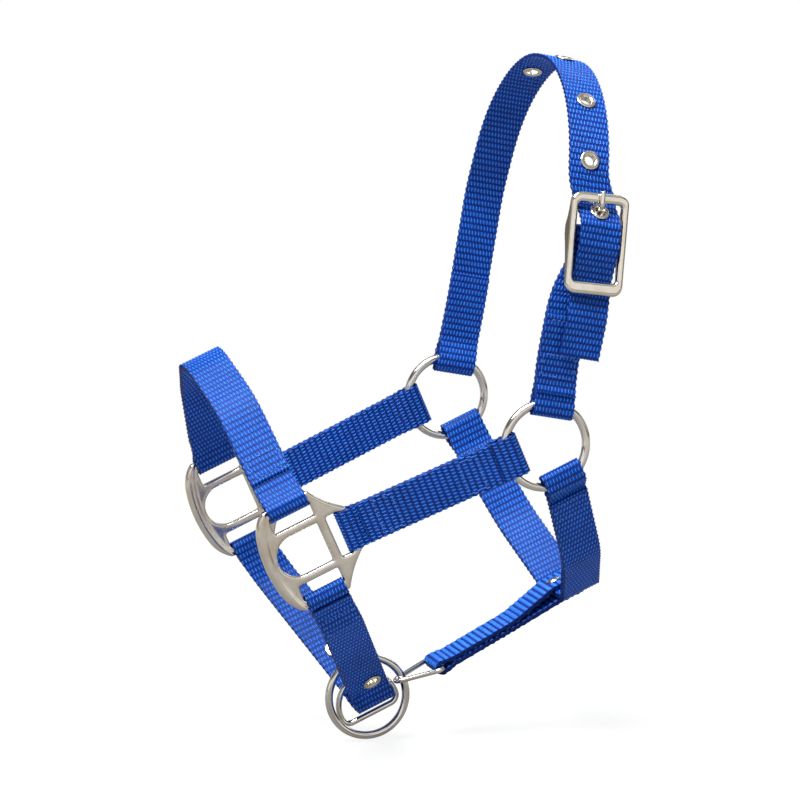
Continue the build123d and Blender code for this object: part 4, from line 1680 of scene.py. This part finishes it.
@dataclass
class Connector:
    """The ribbed webbing from the chin link back to the throat strap, folded round the link.

    Attributes:
        link: the link's crossbar in side view, x and z.
        bend: how far back and up of it the strap bends.
        room: space that one side of the fold takes.
        clear: space to the throat strap above and below.
    """

    link: Point = (77.79, -365.60)
    bend: Point = (-46.5, 24.0)
    bar_seat: float = 1.9
    thick: float = 2.86
    ribs: float = 0.26
    room: float = 3.4
    clear: float = 0.2
    bend_radius: float = 60.0

    def on_throat(self, w: float, depth: float) -> Point:
        """A point on the throat strap's side view, across it and down from the rings."""
        p = RING_MID + DOWN * depth + THROAT_WIDE * (THROAT_SHIFT + w)
        return p.x, p.z

    def line(self) -> Route:
        """Lays the strap from under the throat strap, round the link and back over it.

        Returns:
            The strap's middle line.
        """
        front = Vector(self.link)
        bend = front + Vector(self.bend)
        stack = THROAT_DROP + LAYER_STEP / 2
        away = (2 * PLY + LAYER_GAP + PLY) / 2 + self.clear + self.room / 2
        half = (self.room + 2 * LAYER_GAP) / 2
        split = self.on_throat(-20.5, stack)

        def end(depth: float) -> list[Bend]:
            """One end of the strap, from its tip to where the two sides meet."""
            return rounded([self.on_throat(4.0, depth), self.on_throat(-14.4, depth), split], [8.0])

        top, low = end(stack - away), end(stack + away)
        line = rounded([split, tuple(bend), tuple(front)], [self.bend_radius])[1]
        loop = BarLoop(front.x, front.y, self.bar_seat, reach=9.0, blend=6.0)
        around = loop.arriving((bend.x, bend.y), half, 2.6)
        back = [line.reverse().shifted(half), top[1].reverse(), top[0]]
        return Route([low[0], low[1], line.shifted(half), *around, *back])

    def make(self, finishes: Finishes) -> None:
        """Builds the connector.

        Args:
            finishes: the halter's finishes.
        """
        layout = Layout(Vector(), Vector((1.0, 0.0, 0.0)), Vector((0.0, 0.0, 1.0)), OUT)
        strap = Webbing("connector_webbing", self.line(), layout, self.thick, row=0.6, corrugation=self.ribs)
        declare(strap.build(finishes.webbing), "webbing", "connector")


@dataclass
class Hardware:
    """Rings, squares, buckle, link, dee, eyelets and the rivet.

    Attributes:
        chin_radius, chin_wire: the lead ring's middle radius and its wire.
        dee_half, dee_tall, dee_wire, dee_corner: the dee's size, its wire and its corners' radius.
        dee_back, dee_aside: where the dee hangs, back of the square and off the middle plane.
        link_wire, link_apex, link_corner, link_half: the link's wire, its bends and half its crossbar.
        link_spread, link_lean: its half angle, and how far it rises to the rear, in degrees.
    """

    chin_radius: float = 24.2
    chin_wire: float = 4.8
    dee_half: float = 18.6
    dee_tall: float = 24.4
    dee_wire: float = 3.6
    dee_corner: float = 5.5
    dee_back: float = 11.2
    dee_aside: float = 5.0
    link_wire: float = 3.0
    link_apex: float = 4.4
    link_corner: float = 3.2
    link_half: float = 16.5
    link_spread: float = 26.3
    link_lean: float = 19.0

    def make(self, finishes: Finishes) -> None:
        """Builds the metal.

        Args:
            finishes: the halter's finishes.
        """
        for side in Side:
            ring = f"{side.word}_ring"
            middle = RING_MID + OUT * (RING_HALF * side.value)
            wire = RoundRing(ring + "_wire", middle, RING_RADIUS, RING_WIRE)
            declare(wire.build(finishes.polished), "wire_metal", ring, body=ring + "_body")
            self.cast(f"{side.word}_square", "casting", 0.42, 34, finishes.satin, "square_metal")
        chin = RoundRing("chin_ring_wire", CHIN_RING_MID, self.chin_radius, self.chin_wire)
        declare(chin.build(finishes.polished), "wire_metal", "chin_ring", body="chin_ring_body")
        buckle = Casting("buckle_casting", "buckle_frame", 0.36, 26)
        declare(buckle.build(finishes.buckle), "buckle_metal", "buckle_frame")
        tongue = Casting("tongue_wire", "buckle_tongue", 0.26, 5)
        declare(tongue.build(finishes.buckle), "buckle_metal", "buckle_tongue", body="buckle_tongue_body")
        eyelets = [f"crown_eyelet_{number}" for number in range(1, CROWN_EYELETS + 1)]
        eyelets += [f"chin_eyelet_{side.word}" for side in Side]
        for node in (*eyelets, "throat_rivet"):
            self.cast(node, "pressed", 0.2, 4, finishes.eyelet, "eyelet_metal")
        self.make_dee(finishes)
        self.make_link(finishes)

    def cast(self, node: str, ending: str, voxel: float, passes: int, material: Material, slot: str) -> None:
        """Makes one softened casting or pressing of the harness.

        Args:
            node: the frame's node.
            ending: what the piece's name adds to the node's.
            voxel: the grid of its skin, in millimetres.
            passes: how often its edges are softened.
            material: its finish.
            slot: the record's material slot.
        """
        declare(Casting(f"{node}_{ending}", node, voxel, passes).build(material), slot, node)

    def make_dee(self, finishes: Finishes) -> None:
        """Bends the dee that hangs in the fold of the chin strap.

        Args:
            finishes: the halter's finishes.
        """
        half, corner = self.dee_half, self.dee_corner
        low = CHIN_DROP + PLY + LAYER_STEP + self.dee_wire + self.dee_wire / 2
        layout = Layout(SQUARE_MID + BACK * self.dee_back - OUT * self.dee_aside, BACK, -RISE, OUT)
        arc = half - 0.2
        crown = low - self.dee_tall + arc
        right = [Bend(half - arc, crown, arc), Bend(half - corner, low - corner, corner)]
        left = [Bend(-bend.x, bend.y, bend.r) for bend in reversed(right)]
        piece = Wire("chin_dee_wire", Route(left + right, closed=True), layout, self.dee_wire)
        declare(piece.build(finishes.polished), "wire_metal", "chin_dee", body="chin_dee_body")

    def make_link(self, finishes: Finishes) -> None:
        """Bends the narrow link from the chin ring to the connector.

        Args:
            finishes: the halter's finishes.
        """
        c, s = tilted(self.link_lean)
        way = leaning(-c, s)
        layout = Layout(CHIN_RING_MID + BACK * self.chin_radius, way, OUT, way.cross(OUT))
        spread = math.radians(self.link_spread)
        point = -self.link_apex / math.sin(spread)
        base = point + self.link_half / math.tan(spread)
        corners = [(point, 0.0), (base, -self.link_half), (base, self.link_half)]
        radii = [self.link_apex, self.link_corner, self.link_corner]
        ring = rounded([corners[-1], *corners, corners[0]], radii)[1:-1]
        piece = Wire("chin_link_wire", Route(ring, closed=True), layout, self.link_wire, sides=18, row=0.5)
        declare(piece.build(finishes.polished), "wire_metal", "chin_link", body="chin_link_body")


# ---------------------------------------------------------------- studio
@dataclass(frozen=True)
class Lamp:
    """A square soft lamp aimed at the halter's middle."""

    name: str
    at: Point3
    size: float
    power: float
    colour: Tint
    aim: Point3 = (0.10, 0.0, -0.20)

    def make(self) -> None:
        """Hangs the lamp."""
        data = bpy.data.lights.new(self.name, "AREA")
        data.shape, data.size, data.energy, data.color = "SQUARE", self.size, self.power, self.colour
        lamp = bpy.data.objects.new(self.name, data)
        lamp.location = self.at
        lamp.rotation_euler = (Vector(self.aim) - Vector(self.at)).to_track_quat("-Z", "Y").to_euler()
        bpy.context.scene.collection.objects.link(lamp)


@dataclass(frozen=True)
class Studio:
    """Pale floor, soft lamps and the camera.

    Attributes:
        heights: what the metal reflects from below to above.
        panels: how bright that is from behind the halter round to the camera's side.
    """

    camera_at: Point3 = (0.8097, 2.4409, 0.18395)
    looking: Point3 = (-0.2755, -0.9495, -0.1501)
    lens: float = 191.93
    floor_gap: float = 0.0012
    floor_half: float = 9.0
    lamps: tuple[Lamp, ...] = (
        Lamp("key", (0.80, 0.32, 1.42), 1.25, 84.0, (0.96, 1.0, 0.93)),
        Lamp("fill", (0.4, 1.9, 0.2), 1.4, 2.4, (0.95, 0.92, 1.0)),
        Lamp("rim", (-1.2, -1.0, 0.9), 1.0, 8.0, (1.0, 0.99, 0.97)),
    )
    heights: Stops = (
        (0.0, (0.40, 0.33, 0.26)),
        (0.49, (0.40, 0.34, 0.28)),
        (0.54, (1.0, 0.97, 0.93)),
        (0.66, (1.0, 0.99, 0.97)),
        (0.71, (0.24, 0.21, 0.19)),
        (0.80, (0.30, 0.28, 0.27)),
        (0.86, (1.0, 1.0, 1.0)),
    )
    panels: tuple[Point, ...] = ((0.0, 0.42), (0.25, 0.30), (0.50, 0.95), (0.78, 1.0), (0.95, 0.72))

    def world(self) -> None:
        """Lights evenly all round, white to the eye and graded for the metal to reflect."""
        world = bpy.data.worlds.new("studio")
        bpy.context.scene.world = world
        b = Bench(world, "OutputWorld")
        plain = b.add("Background", Color=(0.66, 0.70, 1.0, 1.0), Strength=0.21)
        seen = b.add("Background", Color=(1.0, 1.0, 1.0, 1.0), Strength=1.0)
        at = b.add("TexCoord").outputs["Generated"]
        height = b.add("SeparateXYZ", Vector=at).outputs["Z"]
        front = b.add("VectorMath", Vector=at)
        front.operation = "DOT_PRODUCT"
        front.inputs[1].default_value = -Vector(self.looking)
        grey = tuple((place, (shade, shade, shade)) for place, shade in self.panels)
        graded = b.add(
            "Background",
            Color=b.ramp(b.fit(height, 0.0, 1.0, -1.0, 1.0), self.heights),
            Strength=b.ramp(front.outputs["Value"], grey),
        )
        path = b.add("LightPath")
        gloss = b.blend(path.outputs["Is Glossy Ray"], plain, graded)
        b.finish(b.blend(path.outputs["Is Camera Ray"], gloss, seen))

    def floor(self) -> None:
        """Lays a wide pale floor just under the lead ring."""
        bm = bmesh.new()
        low = Matrix.Translation((0.0, 0.0, cad_box[0].z - self.floor_gap))
        bmesh.ops.create_grid(bm, x_segments=2, y_segments=2, size=self.floor_half, matrix=low)
        material = bpy.data.materials.new("pale_floor")
        b = Bench(material)
        tone = b.noise(b.place(), 6.0, 3.0)
        matt = b.add("BsdfDiffuse", Color=b.mix(tone, (0.50, 0.49, 0.47, 1.0), (0.54, 0.53, 0.51, 1.0)))
        pale = b.add("BsdfDiffuse", Color=(0.95, 0.95, 0.95, 1.0))
        glow = b.add("Emission", Color=(1.0, 1.0, 1.0, 1.0), Strength=1.0)
        spot = b.add("VectorMath", Vector=b.place())
        spot.operation = "LENGTH"
        away = spot.outputs["Value"]
        dimmed = b.math("MULTIPLY", b.fit(away, 0.86, 0.30, 1.6, 4.5), b.fit(away, 0.30, 1.0, 0.35, 1.2))
        sheen = b.add("Emission", Color=(0.78, 0.72, 0.65, 1.0), Strength=dimmed)
        path = b.add("LightPath")
        ground = b.blend(b.fit(away, 0.88, 1.0, 0.45, 1.3), pale, glow)
        mirrored = b.blend(b.math("MULTIPLY", path.outputs["Is Glossy Ray"], 0.8), matt, sheen)
        b.finish(b.blend(path.outputs["Is Camera Ray"], mirrored, ground))
        dress(bm, "floor", material)

    def camera(self) -> None:
        """Sets the camera at the product's viewing angle."""
        data = bpy.data.cameras.new("camera")
        data.lens, data.sensor_width, data.clip_end = self.lens, 36.0, 50.0
        camera = bpy.data.objects.new("camera", data)
        camera.location = self.camera_at
        camera.rotation_euler = Vector(self.looking).to_track_quat("-Z", "Y").to_euler()
        bpy.context.scene.collection.objects.link(camera)
        bpy.context.scene.camera = camera

    def make(self) -> None:
        """Sets the whole studio."""
        bpy.context.scene.view_settings.view_transform = "Standard"
        self.world()
        self.floor()
        self.camera()
        for lamp in self.lamps:
            lamp.make()


def main() -> None:
    """Builds the halter, piece by piece, and its studio."""
    logging.basicConfig(level=logging.INFO, format="%(name)s: %(message)s")
    Studio().make()
    finishes = Finishes()
    for assembly in (Hardware(), Noseband(), Cheeks(), ThroatStrap(), ChinStrap(), CrownStrap(), Connector()):
        log.info("building %s", type(assembly).__name__)
        assembly.make(finishes)


if __name__ == "__main__":
    main()
